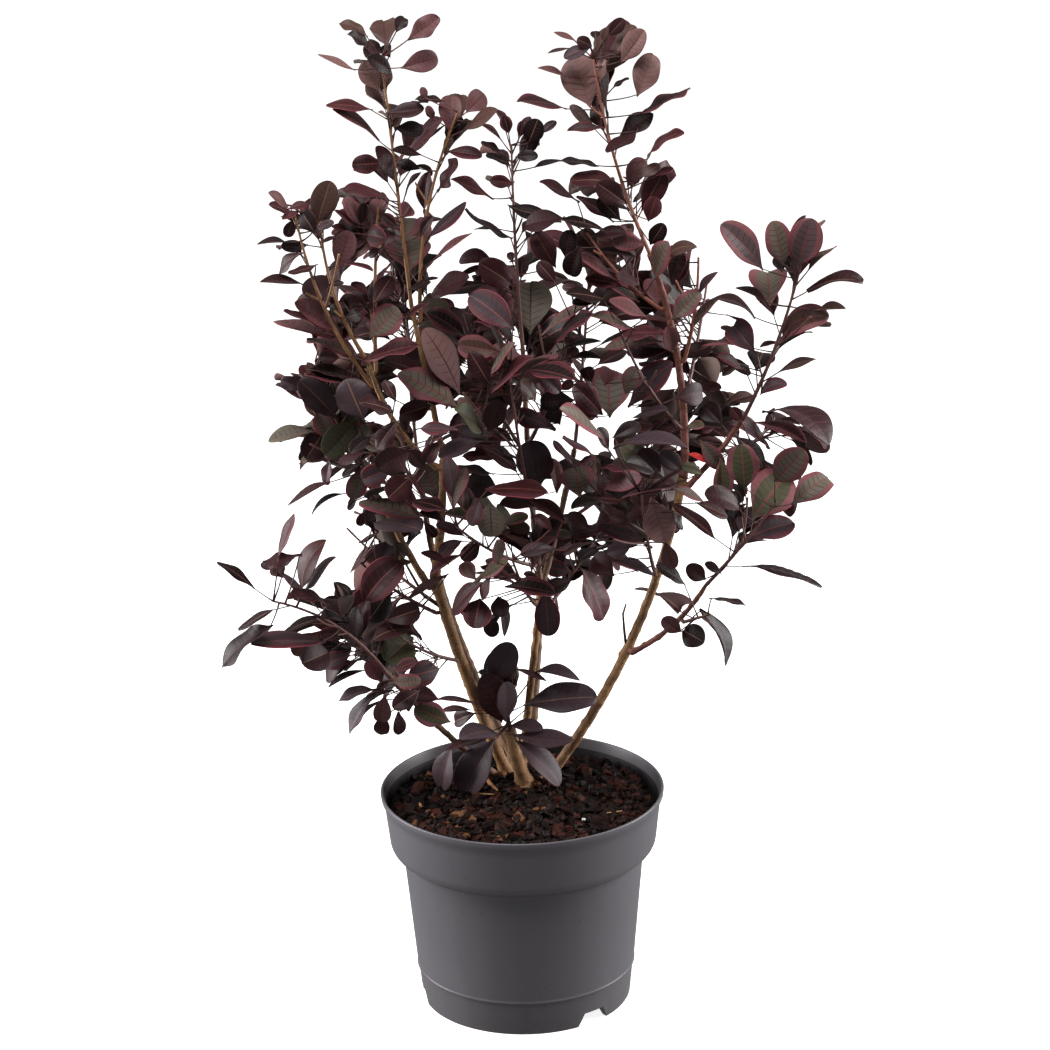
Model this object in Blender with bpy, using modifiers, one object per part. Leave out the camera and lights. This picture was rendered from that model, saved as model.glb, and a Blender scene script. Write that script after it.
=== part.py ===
"""Purple smoke bush in a grey nursery pot, at its real size.

Four live stems and a cut stub stand on the soil of a plastic pot. The stems
fork into boughs, and each bough ends in masses of foliage: a shoot with side
twigs, and leaves set round them by a seeded rule. +Z is up, and the origin is
the middle of the pot's underside.
"""

import math
import random
from collections import namedtuple

import bmesh
import bpy
from mathutils import Matrix, Vector
from mathutils.bvhtree import BVHTree

MM = 0.001
GAP = 0.3 * MM

# Pot
POT_HEIGHT = 205 * MM
RIM_RADIUS = 130.8 * MM
COLLAR_TOP_RADIUS = 126.6 * MM
COLLAR_FOOT_RADIUS = 121 * MM
COLLAR_DEPTH = 53 * MM
SHOULDER_DROP = 7.5 * MM
SHOULDER_ROUND_SHARE = 0.65
BODY_TOP_RADIUS = 110.4 * MM
STEP_HEIGHT = 30 * MM
STEP_RADIUS = 100.2 * MM
STEP_DEPTH = 0.9 * MM
FOOT_RADIUS = 96.4 * MM
FOOT_WIDTH = 6 * MM
WALL = 2.2 * MM
LIP_ROUND = 1.8 * MM
LIP_DROP = 7 * MM
CHANNEL_HEIGHT = 14 * MM
DISC_RADIUS = 62 * MM
CHANNEL_SLOPE = 4 * MM
POT_SIDES = 32
SCREW_MERGE = 0.01 * MM

# Drainage notches in the foot
NOTCH_WIDTH = 36 * MM
NOTCH_TOP_WIDTH = 22 * MM
NOTCH_HEIGHT = 13 * MM
NOTCH_OVERRUN = 1 * MM
NOTCH_CUT_DEPTH = 3 * FOOT_WIDTH
NOTCH_HEADINGS = (-51, 69, 189)

# Soil
SOIL_EDGE_HEIGHT = 184 * MM
SOIL_TOP_HEIGHT = 188 * MM
SOIL_FLAT_RADIUS = 92 * MM

# Stems and boughs: what carries it, the share of the carrier's length where it
# starts, heading in degrees from +X, reach and rise in mm, bow as a share of
# its length (outwards and down), radius at foot and tip in mm. A stem starts on
# the soil, and gives its place there as (x, y) in mm.
Limb = namedtuple("Limb", "carrier share heading reach rise bow foot_radius tip_radius")
LIMBS = {
    "stub_stem": Limb((2, 38), 0, 233, 20, 62, 0.05, 7.0, 5.6),
    "right_stem": Limb((21, 46), 0, -3, 128, 304, 0.12, 5.6, 4.0),
    "right_leader": Limb("right_stem", 1, 199, 31, 208, -0.10, 3.8, 2.6),
    "right_bough": Limb("right_stem", 0.97, -22, 54, 66, 0.04, 2.8, 2.2),
    "right_low_bough": Limb("right_stem", 0.46, -31, 77, 74, 0.12, 2.8, 2.1),
    "left_stem": Limb((-14, 68), 0, 210, 67, 208, 0.02, 5.0, 4.2),
    "left_bough": Limb("left_stem", 0.98, 205, 46, 88, 0.03, 3.4, 2.4),
    "left_crook": Limb("left_stem", 1, 290, 32, 124, 0.08, 3.8, 3.0),
    "left_leader": Limb("left_crook", 1, 185, 24, 143, 0.0, 2.8, 2.1),
    "left_front_bough": Limb("left_crook", 0.95, 225, 82, 113, 0.15, 2.6, 2.0),
    "middle_stem": Limb((0, 74), 0, -49, 32, 184, 0.0, 3.8, 3.2),
    "middle_leader": Limb("middle_stem", 1, 160, 12, 228, 0.02, 3.0, 2.2),
    "low_left_stem": Limb((-30, 62), 0, 230, 142, 147, 0.03, 3.2, 2.2),
    "back_left_stem": Limb((-6, 86), 0, 131, 104, 154, 0.06, 4.6, 3.4),
    "back_right_stem": Limb((8, 88), 0, 80, 78, 143, 0.06, 4.6, 3.4),
    "back_left_bough": Limb("back_left_stem", 1, 125, 30, 110, 0.04, 3.2, 2.6),
    "back_right_bough": Limb("back_right_stem", 1, 50, 55, 130, 0.04, 3.2, 2.6),
}
FLARE = 0.45
FLARE_HEIGHT = 14 * MM
HEEL = 3 * MM
LIMB_STEPS = 4
TANGENT_SPAN = 0.1

# Masses of foliage: what carries the shoot, the share of the carrier's length
# where it starts, heading, reach, rise and bow as above, leaves along the shoot,
# blade length in mm and number of side twigs.
Mass = namedtuple("Mass", "carrier share heading reach rise bow leaves blade twigs")
MASSES = {
    "left_spire": Mass("left_leader", 1, 180, 19, 222, 0.0, 19, 44, 2),
    "left_spire_side": Mass("left_leader", 0.9, -20, 44, 190, -0.12, 12, 42, 1),
    "left_curved_shoot": Mass("left_front_bough", 1, 209, 42, 142, 0.14, 11, 44, 0),
    "left_upright_shoot": Mass("left_front_bough", 0.94, 340, 10, 148, -0.03, 11, 44, 0),
    "left_outer_shoot": Mass("left_front_bough", 0.85, 214, 72, 162, 0.12, 11, 42, 1),
    "middle_spire": Mass("middle_leader", 1, 143, 8, 192, 0.02, 15, 46, 1),
    "right_spire": Mass("right_leader", 1, 194, 36, 178, 0.07, 19, 50, 2),
    "right_spire_outer": Mass("right_leader", 0.5, -55, 26, 100, 0.10, 11, 50, 1),
    "right_spire_inner": Mass("right_leader", 0.75, 195, 70, 75, 0.10, 8, 50, 0),
    "right_tip": Mass("right_bough", 1, -45, 68, 155, 0.06, 14, 54, 1),
    "right_side": Mass("right_bough", 0.6, -12, 60, 26, 0.05, 8, 58, 1),
    "right_low_tip": Mass("right_low_bough", 1, -32, 72, 92, 0.03, 12, 56, 1),
    "right_foot": Mass("right_low_bough", 0.62, -40, 32, 12, 0.0, 5, 46, 0),
    "right_inner": Mass("right_leader", 0.2, 226, 80, 105, 0.08, 10, 56, 1),
    "right_underside": Mass("right_stem", 0.8, 225, 80, 60, 0.08, 7, 54, 0),
    "middle_right": Mass("middle_leader", 0.65, 300, 80, 130, 0.08, 11, 58, 1),
    "middle_left": Mass("middle_leader", 0.6, 215, 65, 140, 0.08, 10, 56, 1),
    "front_upper": Mass("middle_leader", 0.35, 262, 130, 170, 0.08, 12, 60, 1),
    "front_low": Mass("middle_stem", 0.95, 258, 110, 82, 0.08, 9, 54, 1),
    "front_middle": Mass("middle_leader", 0.12, 232, 115, 70, 0.08, 9, 60, 1),
    "front_right": Mass("right_stem", 0.7, 262, 130, 120, 0.08, 10, 54, 1),
    "front_left": Mass("left_crook", 0.6, 250, 115, 110, 0.08, 10, 60, 1),
    "left_side": Mass("left_bough", 1, 172, 56, 80, 0.06, 10, 52, 1),
    "left_upper": Mass("left_bough", 0.8, 183, 62, 150, 0.08, 10, 54, 1),
    "left_low": Mass("left_stem", 0.85, 200, 75, 60, 0.08, 8, 54, 0),
    "left_foot": Mass("left_stem", 0.62, 238, 90, 50, 0.06, 7, 50, 0),
    "low_left_inner": Mass("low_left_stem", 0.75, 250, 50, 52, 0.05, 8, 42, 0),
    "low_left_outer": Mass("low_left_stem", 0.95, 160, 46, 55, 0.05, 9, 50, 0),
    "low_left_tip": Mass("low_left_stem", 1, 217, 118, 112, -0.15, 14, 54, 1),
    "stub_rosette": Mass("stub_stem", 1, 250, 4, 22, 0.0, 12, 60, 0),
    "left_back": Mass("left_leader", 0.3, 110, 110, 100, 0.08, 9, 54, 1),
    "right_back": Mass("right_leader", 0.3, 75, 105, 85, 0.08, 9, 54, 1),
    "middle_back": Mass("middle_leader", 0.7, 92, 120, 100, 0.08, 9, 54, 1),
    "back_left_top": Mass("back_left_bough", 1, 112, 32, 190, 0.03, 12, 52, 1),
    "back_left_side": Mass("back_left_bough", 0.6, 165, 105, 110, 0.06, 10, 54, 1),
    "back_left_low": Mass("back_left_stem", 0.9, 155, 100, 65, 0.06, 8, 54, 1),
    "back_right_top": Mass("back_right_bough", 1, 62, 40, 180, 0.03, 12, 52, 1),
    "back_right_side": Mass("back_right_bough", 0.5, 5, 120, 90, 0.06, 10, 54, 1),
    "back_right_low": Mass("back_right_stem", 0.9, 50, 100, 65, 0.06, 8, 54, 1),
}
SHOOT_STEPS = 3
SHOOT_FOOT_RADIUS = 2.2 * MM
SHOOT_TIP_RADIUS = 1.5 * MM
TWIG_STEPS = 2
TWIG_FIRST = 0.3
TWIG_SPAN = 0.4
TWIG_LENGTH_SHARE = 0.38
TWIG_RADIUS_SHARE = 0.8
TWIG_LEAN = 42
TWIG_LIFT = 0.25
TWIG_BOW = 0.06
TWIG_LEAVES = 3
TWIG_BLADE_SHARE = 0.85

# Leaves: where they sit, how they lean from the shoot in degrees, and their size
SHOOT_FIRST_LEAF = 0.16
TWIG_FIRST_LEAF = 0.4
LEAF_CROWDING = 0.85
TURN_STEP = 137.5
TURN_SPREAD = 14
TRY_TURNS = (0, 28, -28, 55, -55)
LOW_LEAN = 74
TOP_LEAN = 36
LEAN_SPREAD = 10
LOW_DROOP = 0.75
DROOP_LOSS = 0.6
ROLL_SPREAD = 32
SIZE_SPREAD = (0.85, 1.15)
TIP_LEAF_LOSS = 0.3
PETIOLE_LENGTH = 24 * MM
PETIOLE_LOSS = 0.4
PETIOLE_HALF_WIDTH = 0.5 * MM
PETIOLE_DEPTH = 0.9 * MM
BLADE_HALF_WIDTH_SHARE = 0.34
BLADE_WIDEST_SHARE = 0.58
BLADE_TIP_SHARE = 0.97
TIP_HALF_WIDTH_SHARE = 0.12
BLADE_THICKNESS_SHARE = 0.024
BLADE_CURL_SHARE = 0.10

# Room between leaves: the margin round a leaf, how much further it may stand from
# its own mass's lines than from another's, and the points that stand for a line
TOUCH_MARGIN = 0.35 * MM
ROOT_CLEAR_SHARE = 0.3
SPACE_SLACK = 1.35
SPACE_POINTS = 8

UP = Vector((0, 0, 1))
Leaf = namedtuple("Leaf", "root stalk blade face petiole length")


def material(name, color, roughness, metallic=0.0):
    """Principled material with one colour."""
    finish = bpy.data.materials.new(name)
    finish.use_nodes = True
    shader = finish.node_tree.nodes["Principled BSDF"]
    shader.inputs["Base Color"].default_value = (*color, 1)
    shader.inputs["Roughness"].default_value = roughness
    shader.inputs["Metallic"].default_value = metallic
    finish.diffuse_color = (*color, 1)
    return finish


def add_object(name, data, finish, collection):
    """New object with one material, in a collection."""
    piece = bpy.data.objects.new(name, data)
    if finish:
        data.materials.append(finish)
    collection.objects.link(piece)
    return piece


def add_collection(name):
    """New collection in the scene."""
    collection = bpy.data.collections.new(name)
    bpy.context.scene.collection.children.link(collection)
    return collection


def turned(name, profile, finish, collection):
    """Solid of revolution about Z from a profile of (radius, height)."""
    shape = bmesh.new()
    points = [shape.verts.new((radius, 0, height)) for radius, height in profile]
    for first, second in zip(points, points[1:]):
        shape.edges.new((first, second))
    mesh = bpy.data.meshes.new(name)
    shape.to_mesh(mesh)
    shape.free()
    piece = add_object(name, mesh, finish, collection)
    screw = piece.modifiers.new("turn", "SCREW")
    screw.steps = POT_SIDES
    screw.render_steps = POT_SIDES
    screw.use_merge_vertices = True
    screw.merge_threshold = SCREW_MERGE
    screw.use_normal_calculate = True
    return piece


def pot_wall(inset):
    """Outer line of the pot from lip to foot, top to bottom, moved in by an inset."""
    collar_foot = POT_HEIGHT - COLLAR_DEPTH
    round_radius = COLLAR_FOOT_RADIUS - SHOULDER_DROP / 2
    round_height = collar_foot - SHOULDER_DROP * SHOULDER_ROUND_SHARE
    return [
        (COLLAR_TOP_RADIUS - inset, POT_HEIGHT - LIP_DROP),
        (COLLAR_FOOT_RADIUS - inset, collar_foot),
        (round_radius - inset, round_height),
        (BODY_TOP_RADIUS - inset, collar_foot - SHOULDER_DROP),
        (STEP_RADIUS - inset, STEP_HEIGHT),
        (STEP_RADIUS - STEP_DEPTH - inset, STEP_HEIGHT - STEP_DEPTH),
    ]


def foot_wall_radius(height):
    """Outer radius of the pot between its foot and its step, at a height."""
    top = STEP_RADIUS - STEP_DEPTH
    return FOOT_RADIUS + (top - FOOT_RADIUS) * height / (STEP_HEIGHT - STEP_DEPTH)


def floor_line(clearance):
    """Inner floor of the pot, from the wall to the middle."""
    low = WALL + clearance
    high = CHANNEL_HEIGHT + WALL + clearance
    slope_foot = DISC_RADIUS - WALL - clearance
    return [
        (foot_wall_radius(high) - WALL - clearance, high),
        (slope_foot + CHANNEL_SLOPE, high),
        (slope_foot, low),
        (0, low),
    ]


def make_pot(collection):
    """Thin-walled pot with a rolled lip, a deep collar and a notched foot."""
    lip = [
        (COLLAR_TOP_RADIUS - WALL / 2, POT_HEIGHT - LIP_ROUND / 2),
        (COLLAR_TOP_RADIUS, POT_HEIGHT),
        (RIM_RADIUS - LIP_ROUND, POT_HEIGHT),
        (RIM_RADIUS, POT_HEIGHT - LIP_ROUND),
        (RIM_RADIUS, POT_HEIGHT - LIP_DROP + LIP_ROUND),
    ]
    inside = list(reversed(floor_line(0))) + list(reversed(pot_wall(WALL)))
    foot = [
        (FOOT_RADIUS, 0),
        (FOOT_RADIUS - FOOT_WIDTH, 0),
        (FOOT_RADIUS - FOOT_WIDTH - CHANNEL_SLOPE, CHANNEL_HEIGHT),
        (DISC_RADIUS + CHANNEL_SLOPE, CHANNEL_HEIGHT),
        (DISC_RADIUS, 0),
        (0, 0),
    ]
    grey = material("grey_plastic", (0.10, 0.10, 0.115), 0.42)
    pot = turned("pot", inside + lip + pot_wall(0) + foot, grey, collection)
    cutters = add_collection("notch_cutters")
    for number, heading in enumerate(NOTCH_HEADINGS):
        cutter = notch_cutter(number, heading, cutters)
        cut = pot.modifiers.new(cutter.name, "BOOLEAN")
        cut.operation = "DIFFERENCE"
        cut.object = cutter


def notch_cutter(number, heading, cutters):
    """Wedge with slanted sides that cuts one notch through the foot."""
    shape = bmesh.new()
    bmesh.ops.create_cube(shape, size=1)
    for corner in shape.verts:
        high = corner.co.z > 0
        corner.co.y *= NOTCH_TOP_WIDTH if high else NOTCH_WIDTH
        corner.co.x = FOOT_RADIUS + corner.co.x * NOTCH_CUT_DEPTH
        corner.co.z = NOTCH_HEIGHT if high else -NOTCH_OVERRUN
    mesh = bpy.data.meshes.new("notch_%d" % number)
    shape.to_mesh(mesh)
    shape.free()
    cutter = add_object(mesh.name, mesh, None, cutters)
    cutter.rotation_euler.z = math.radians(heading)
    cutter.hide_render = True
    cutter.display_type = "WIRE"
    return cutter


def make_soil(collection):
    """Plug of potting bark that fills the pot to just under its rim."""
    clear = WALL + 2 * GAP
    collar = POT_HEIGHT - COLLAR_DEPTH
    slant = (COLLAR_TOP_RADIUS - COLLAR_FOOT_RADIUS) / (COLLAR_DEPTH - LIP_DROP)
    edge = COLLAR_FOOT_RADIUS + slant * (SOIL_EDGE_HEIGHT - collar) - clear
    top = [(0, SOIL_TOP_HEIGHT), (SOIL_FLAT_RADIUS, SOIL_TOP_HEIGHT), (edge, SOIL_EDGE_HEIGHT)]
    sides = pot_wall(clear)[1::2]
    bark = material("dark_soil", (0.045, 0.025, 0.018), 0.95)
    turned("soil", top + sides + floor_line(GAP), bark, collection)


def heading_vector(heading):
    """Level unit vector at a heading in degrees."""
    return Vector((math.cos(math.radians(heading)), math.sin(math.radians(heading)), 0))


class Axis:
    """Bent line of a limb, shoot or twig, from its seat on its carrier to its tip."""

    def __init__(self, seat, outward, heading, reach, rise, bow, radii, steps, heel=HEEL):
        """Leave the seat outwards by a heel, then curve towards the tip."""
        start = seat + outward * heel
        end = seat + heading_vector(heading) * reach + UP * rise
        chord = end - start
        sag = heading_vector(heading) * chord.z - UP * chord.xy.length
        middle = (start + end) / 2 + sag * bow
        self.seat = seat
        self.radii = radii
        self.knots = []
        for number in range(steps + 1):
            share = number / steps
            rest = 1 - share
            place = start * rest * rest + middle * 2 * rest * share + end * share * share
            self.knots.append(place)

    def point(self, share):
        """Point at a share of the length."""
        steps = len(self.knots) - 1
        number = min(int(share * steps), steps - 1)
        return self.knots[number].lerp(self.knots[number + 1], share * steps - number)

    def tangent(self, share):
        """Direction at a share of the length."""
        ahead = min(share + TANGENT_SPAN, 1)
        behind = max(share - TANGENT_SPAN, 0)
        return (self.point(ahead) - self.point(behind)).normalized()

    def radius(self, share):
        """Radius at a share of the length."""
        return self.radii[0] + (self.radii[1] - self.radii[0]) * share

    def stations(self):
        """Points and radii along the whole line, seat first."""
        steps = len(self.knots) - 1
        line = [(knot, self.radius(number / steps)) for number, knot in enumerate(self.knots)]
        if (self.seat - self.knots[0]).length < GAP:
            return line
        return [(self.seat, self.radius(0))] + line


def seat_on(carrier, share, heading, rise, reach, radius):
    """Where a limb starts on its carrier, clear of it, and which way it leaves."""
    if share >= 1:
        tangent = (carrier.knots[-1] - carrier.knots[-2]).normalized()
        return carrier.knots[-1] + tangent * GAP, tangent
    tangent = carrier.tangent(share)
    aim = (heading_vector(heading) * reach + UP * rise).normalized()
    outward = (aim - tangent * aim.dot(tangent)).normalized()
    return carrier.point(share) + outward * (carrier.radius(share) + GAP), outward


def limb_axes():
    """Axis of every stem and bough, by name."""
    axes = {}
    for name, limb in LIMBS.items():
        radii = (limb.foot_radius * MM, limb.tip_radius * MM)
        reach, rise = limb.reach * MM, limb.rise * MM
        if limb.carrier in LIMBS:
            carrier = axes[limb.carrier]
            seat, outward = seat_on(carrier, limb.share, limb.heading, rise, reach, radii[0])
        else:
            x, y = limb.carrier
            seat, outward = Vector((x * MM, y * MM, SOIL_TOP_HEIGHT + GAP)), UP
        axes[name] = Axis(seat, outward, limb.heading, reach, rise, limb.bow, radii, LIMB_STEPS)
    return axes


def make_limb(name, axis, finish, collection):
    """Tapering limb, round and capped, flared where it stands on the soil."""
    curve = bpy.data.curves.new(name, "CURVE")
    curve.dimensions = "3D"
    curve.bevel_depth = 1.0
    curve.bevel_resolution = 1
    curve.use_fill_caps = True
    stations = axis.stations()
    line = curve.splines.new("POLY")
    line.points.add(len(stations) - 1)
    for knot, (place, radius) in zip(line.points, stations):
        height = place.z - SOIL_TOP_HEIGHT
        flare = FLARE * max(0, 1 - height / FLARE_HEIGHT)
        knot.co = (*place, 1)
        knot.radius = radius * (1 + flare)
    return add_object(name, curve, finish, collection)


def solid_of(piece):
    """Vertices and faces of an object as it stands."""
    graph = bpy.context.evaluated_depsgraph_get()
    mesh = bpy.data.meshes.new_from_object(piece.evaluated_get(graph))
    corners = [piece.matrix_world @ vertex.co for vertex in mesh.vertices]
    faces = [tuple(face.vertices) for face in mesh.polygons]
    bpy.data.meshes.remove(mesh)
    return corners, faces


def lofted(rings, tip=None):
    """Vertices and faces of a solid through like rings, and over a tip edge if it has one."""
    count = len(rings[0])
    corners = [corner for ring in rings for corner in ring]
    faces = [tuple(reversed(range(count)))]
    last = len(corners) - count
    for first in range(0, last, count):
        for number in range(count):
            after = (number + 1) % count
            faces.append((first + number, first + after, first + count + after,
                          first + count + number))
    if not tip:
        return corners, faces + [tuple(range(last, last + count))]
    right, keel, left, tip_right, tip_left = range(last, last + 5)
    faces += [(right, keel, tip_right), (keel, left, tip_left, tip_right),
              (left, right, tip_right, tip_left)]
    return corners + tip, faces


def twig_solid(axis):
    """Three-sided solid of a shoot or twig."""
    stations = axis.stations()
    rings = []
    side = (stations[1][0] - stations[0][0]).orthogonal()
    for number, (place, radius) in enumerate(stations):
        before = stations[max(number - 1, 0)][0]
        after = stations[min(number + 1, len(stations) - 1)][0]
        along = (after - before).normalized()
        side = (side - along * side.dot(along)).normalized()
        across = along.cross(side)
        rings.append([
            place + (side * math.cos(angle) + across * math.sin(angle)) * radius
            for angle in (0, math.tau / 3, 2 * math.tau / 3)
        ])
    return lofted(rings)


def leaf_section(middle, side, face, half_width, depth):
    """Three-cornered section: a flat upper face and a keel under it."""
    top = middle + face * depth / 3
    return [top + side * half_width, top - face * depth, top - side * half_width]


def leaf_solid(leaf, margin=0.0):
    """Solid of a leaf: petiole, neck, widest place, and the edge of its blunt tip."""
    neck = leaf.root + leaf.stalk * leaf.petiole
    stalk_side = leaf.stalk.cross(leaf.face).normalized()
    side = leaf.blade.cross(leaf.face).normalized()
    widest = neck + leaf.blade * leaf.length * BLADE_WIDEST_SHARE + leaf.face * margin
    tip = neck + leaf.blade * leaf.length * BLADE_TIP_SHARE
    tip -= leaf.face * leaf.length * BLADE_CURL_SHARE
    root = leaf.root + leaf.stalk * leaf.petiole * (ROOT_CLEAR_SHARE if margin else 0)
    stalk_half = PETIOLE_HALF_WIDTH + margin
    stalk_depth = PETIOLE_DEPTH + 2 * margin
    rings = [
        leaf_section(root, stalk_side, stalk_side.cross(leaf.stalk), stalk_half, stalk_depth),
        leaf_section(neck, side, leaf.face, stalk_half, stalk_depth),
        leaf_section(widest, side, leaf.face, leaf.length * BLADE_HALF_WIDTH_SHARE + margin,
                     leaf.length * BLADE_THICKNESS_SHARE + 2 * margin),
    ]
    tip_half = leaf.length * TIP_HALF_WIDTH_SHARE + margin
    return lofted(rings, [tip + side * tip_half, tip - side * tip_half])


class Clearance:
    """Remembers every solid that is placed, and tells if a new one touches it."""

    def __init__(self):
        """Nothing is placed yet."""
        self.placed = []

    def place(self, solid, owner=None):
        """Remember a solid, and the mass that owns it."""
        self.placed.append((owner, *self.measured(solid)))

    def measured(self, solid):
        """Middle, reach and search tree of a solid."""
        corners, faces = solid
        middle = sum(corners, Vector()) / len(corners)
        reach = max((corner - middle).length for corner in corners)
        return middle, reach, BVHTree.FromPolygons(corners, faces)

    def touches(self, solid, but=None):
        """Whether a solid touches one that is placed, other than those of one owner."""
        middle, reach, tree = self.measured(solid)
        for owner, other_middle, other_reach, other in self.placed:
            if but and owner == but:
                continue
            if (middle - other_middle).length < reach + other_reach and tree.overlap(other):
                return True
        return False


def turned_out(tangent, turn):
    """Unit vector square to a tangent, at a turn in degrees round it."""
    side = tangent.orthogonal().normalized()
    return Matrix.Rotation(math.radians(turn), 3, tangent) @ side


def planned_leaf(dice, axis, share, turn, blade_length):
    """One leaf of the rule: it leans out less and is smaller towards the shoot's tip."""
    tangent = axis.tangent(share)
    out = turned_out(tangent, turn)
    lean = LOW_LEAN + (TOP_LEAN - LOW_LEAN) * share + dice.uniform(-LEAN_SPREAD, LEAN_SPREAD)
    lean = math.radians(lean)
    stalk = (tangent * math.cos(lean) + out * math.sin(lean)).normalized()
    droop = dice.uniform(0, LOW_DROOP) * (1 - DROOP_LOSS * share)
    blade = (stalk - UP * droop).normalized()
    face = UP * 0.8 - stalk * 0.3 + out * 0.3
    face = (face - blade * face.dot(blade)).normalized()
    face = Matrix.Rotation(math.radians(dice.gauss(0, ROLL_SPREAD)), 3, blade) @ face
    size = (1 - TIP_LEAF_LOSS * max(0, 2 * share - 1)) * dice.uniform(*SIZE_SPREAD)
    petiole = PETIOLE_LENGTH * (1 - PETIOLE_LOSS * share) * dice.uniform(*SIZE_SPREAD)
    return Leaf(axis.point(share), stalk, blade, face, petiole, blade_length * size)


def keeps_space(name, leaf, lines):
    """Whether a blade's middle lies in the space round its own mass's lines."""
    middle = leaf.root + leaf.stalk * leaf.petiole + leaf.blade * leaf.length / 2
    nearest = {
        owner: min((middle - place).length for place in places)
        for owner, places in lines.items()
    }
    own = nearest.pop(name)
    return own < SPACE_SLACK * min(nearest.values())


def leaf_shares(count, first):
    """Places of the leaves along a shoot, closer towards the tip."""
    return [
        first + (1 - first) * (number / (count - 1)) ** LEAF_CROWDING
        for number in range(count)
    ]


def shoot_axes(limbs):
    """Axis of every mass's shoot, by name."""
    axes = {}
    for name, mass in MASSES.items():
        reach, rise = mass.reach * MM, mass.rise * MM
        carrier = limbs[mass.carrier]
        foot = min(SHOOT_FOOT_RADIUS, carrier.radius(mass.share))
        seat, outward = seat_on(carrier, mass.share, mass.heading, rise, reach, foot)
        radii = (foot, SHOOT_TIP_RADIUS)
        axes[name] = Axis(seat, outward, mass.heading, reach, rise, mass.bow, radii,
                          SHOOT_STEPS)
    return axes


def side_twig(axis, share, turn):
    """Axis of one side twig on a shoot."""
    tangent = axis.tangent(share)
    out = turned_out(tangent, turn)
    lean = math.radians(TWIG_LEAN)
    aim = tangent * math.cos(lean) + out * math.sin(lean) + UP * TWIG_LIFT
    length = (axis.knots[-1] - axis.knots[0]).length * TWIG_LENGTH_SHARE
    aim = aim.normalized() * length
    heading = math.degrees(math.atan2(aim.y, aim.x))
    radii = (axis.radius(share) * TWIG_RADIUS_SHARE, SHOOT_TIP_RADIUS)
    return Axis(axis.point(share), out, heading, aim.xy.length, aim.z, TWIG_BOW, radii,
                TWIG_STEPS, heel=0)


def grow_twigs(name, axis, clearance):
    """Side twigs of one shoot that touch no limb and no other mass's shoot."""
    dice = random.Random(name)
    twigs = []
    count = MASSES[name].twigs
    for number in range(count):
        share = TWIG_FIRST + TWIG_SPAN * (number + 0.5) / count
        for extra in (0, 120, 240):
            twig = side_twig(axis, share, dice.uniform(0, 360) + extra)
            if not clearance.touches(twig_solid(twig), but=name):
                clearance.place(twig_solid(twig), owner=name)
                twigs.append(twig)
                break
    return twigs


def grow_leaves(name, label, axis, count, first, blade_length, clearance, lines):
    """Leaves along one shoot or twig that keep to their space and touch nothing."""
    leaves = []
    start_turn = random.Random(label).uniform(0, 360)
    for number, share in enumerate(leaf_shares(count, first)):
        dice = random.Random("%s leaf %d" % (label, number))
        turn = start_turn + number * TURN_STEP + dice.uniform(-TURN_SPREAD, TURN_SPREAD)
        for extra in TRY_TURNS:
            leaf = planned_leaf(dice, axis, share, turn + extra, blade_length)
            guard = leaf_solid(leaf, TOUCH_MARGIN)
            if keeps_space(name, leaf, lines) and not clearance.touches(guard):
                clearance.place(guard)
                leaves.append(leaf)
                break
    return leaves


def drop_scraps(mesh):
    """Keep only the largest of a mesh's loose pieces."""
    shape = bmesh.new()
    shape.from_mesh(mesh)
    left = set(shape.verts)
    pieces = []
    while left:
        piece = set()
        front = [left.pop()]
        while front:
            corner = front.pop()
            piece.add(corner)
            for edge in corner.link_edges:
                other = edge.other_vert(corner)
                if other in left:
                    left.remove(other)
                    front.append(other)
        pieces.append(piece)
    pieces.sort(key=len)
    for scrap in pieces[:-1]:
        bmesh.ops.delete(shape, geom=list(scrap), context="VERTS")
    shape.to_mesh(mesh)
    shape.free()


def loose_object(name, solid, collection):
    """Object of one solid before it is joined to the others."""
    mesh = bpy.data.meshes.new(name)
    mesh.from_pydata(solid[0], [], solid[1])
    return add_object(name, mesh, None, collection)


def fuse_mass(name, solids, finish, collection):
    """One closed solid from a shoot, its twigs and its leaves."""
    loose = add_collection(name + "_loose")
    shoot = loose_object(name, solids[0], collection)
    for number, solid in enumerate(solids[1:]):
        loose_object("%s_%d" % (name, number), solid, loose)
    union = shoot.modifiers.new("union", "BOOLEAN")
    union.operation = "UNION"
    union.operand_type = "COLLECTION"
    union.collection = loose
    union.solver = "MANIFOLD"
    graph = bpy.context.evaluated_depsgraph_get()
    fused = bpy.data.meshes.new_from_object(shoot.evaluated_get(graph))
    shoot.modifiers.clear()
    for piece in list(loose.objects):
        bpy.data.objects.remove(piece)
    bpy.data.collections.remove(loose)
    drop_scraps(fused)
    fused.materials.clear()
    fused.materials.append(finish)
    shoot.data = fused


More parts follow.
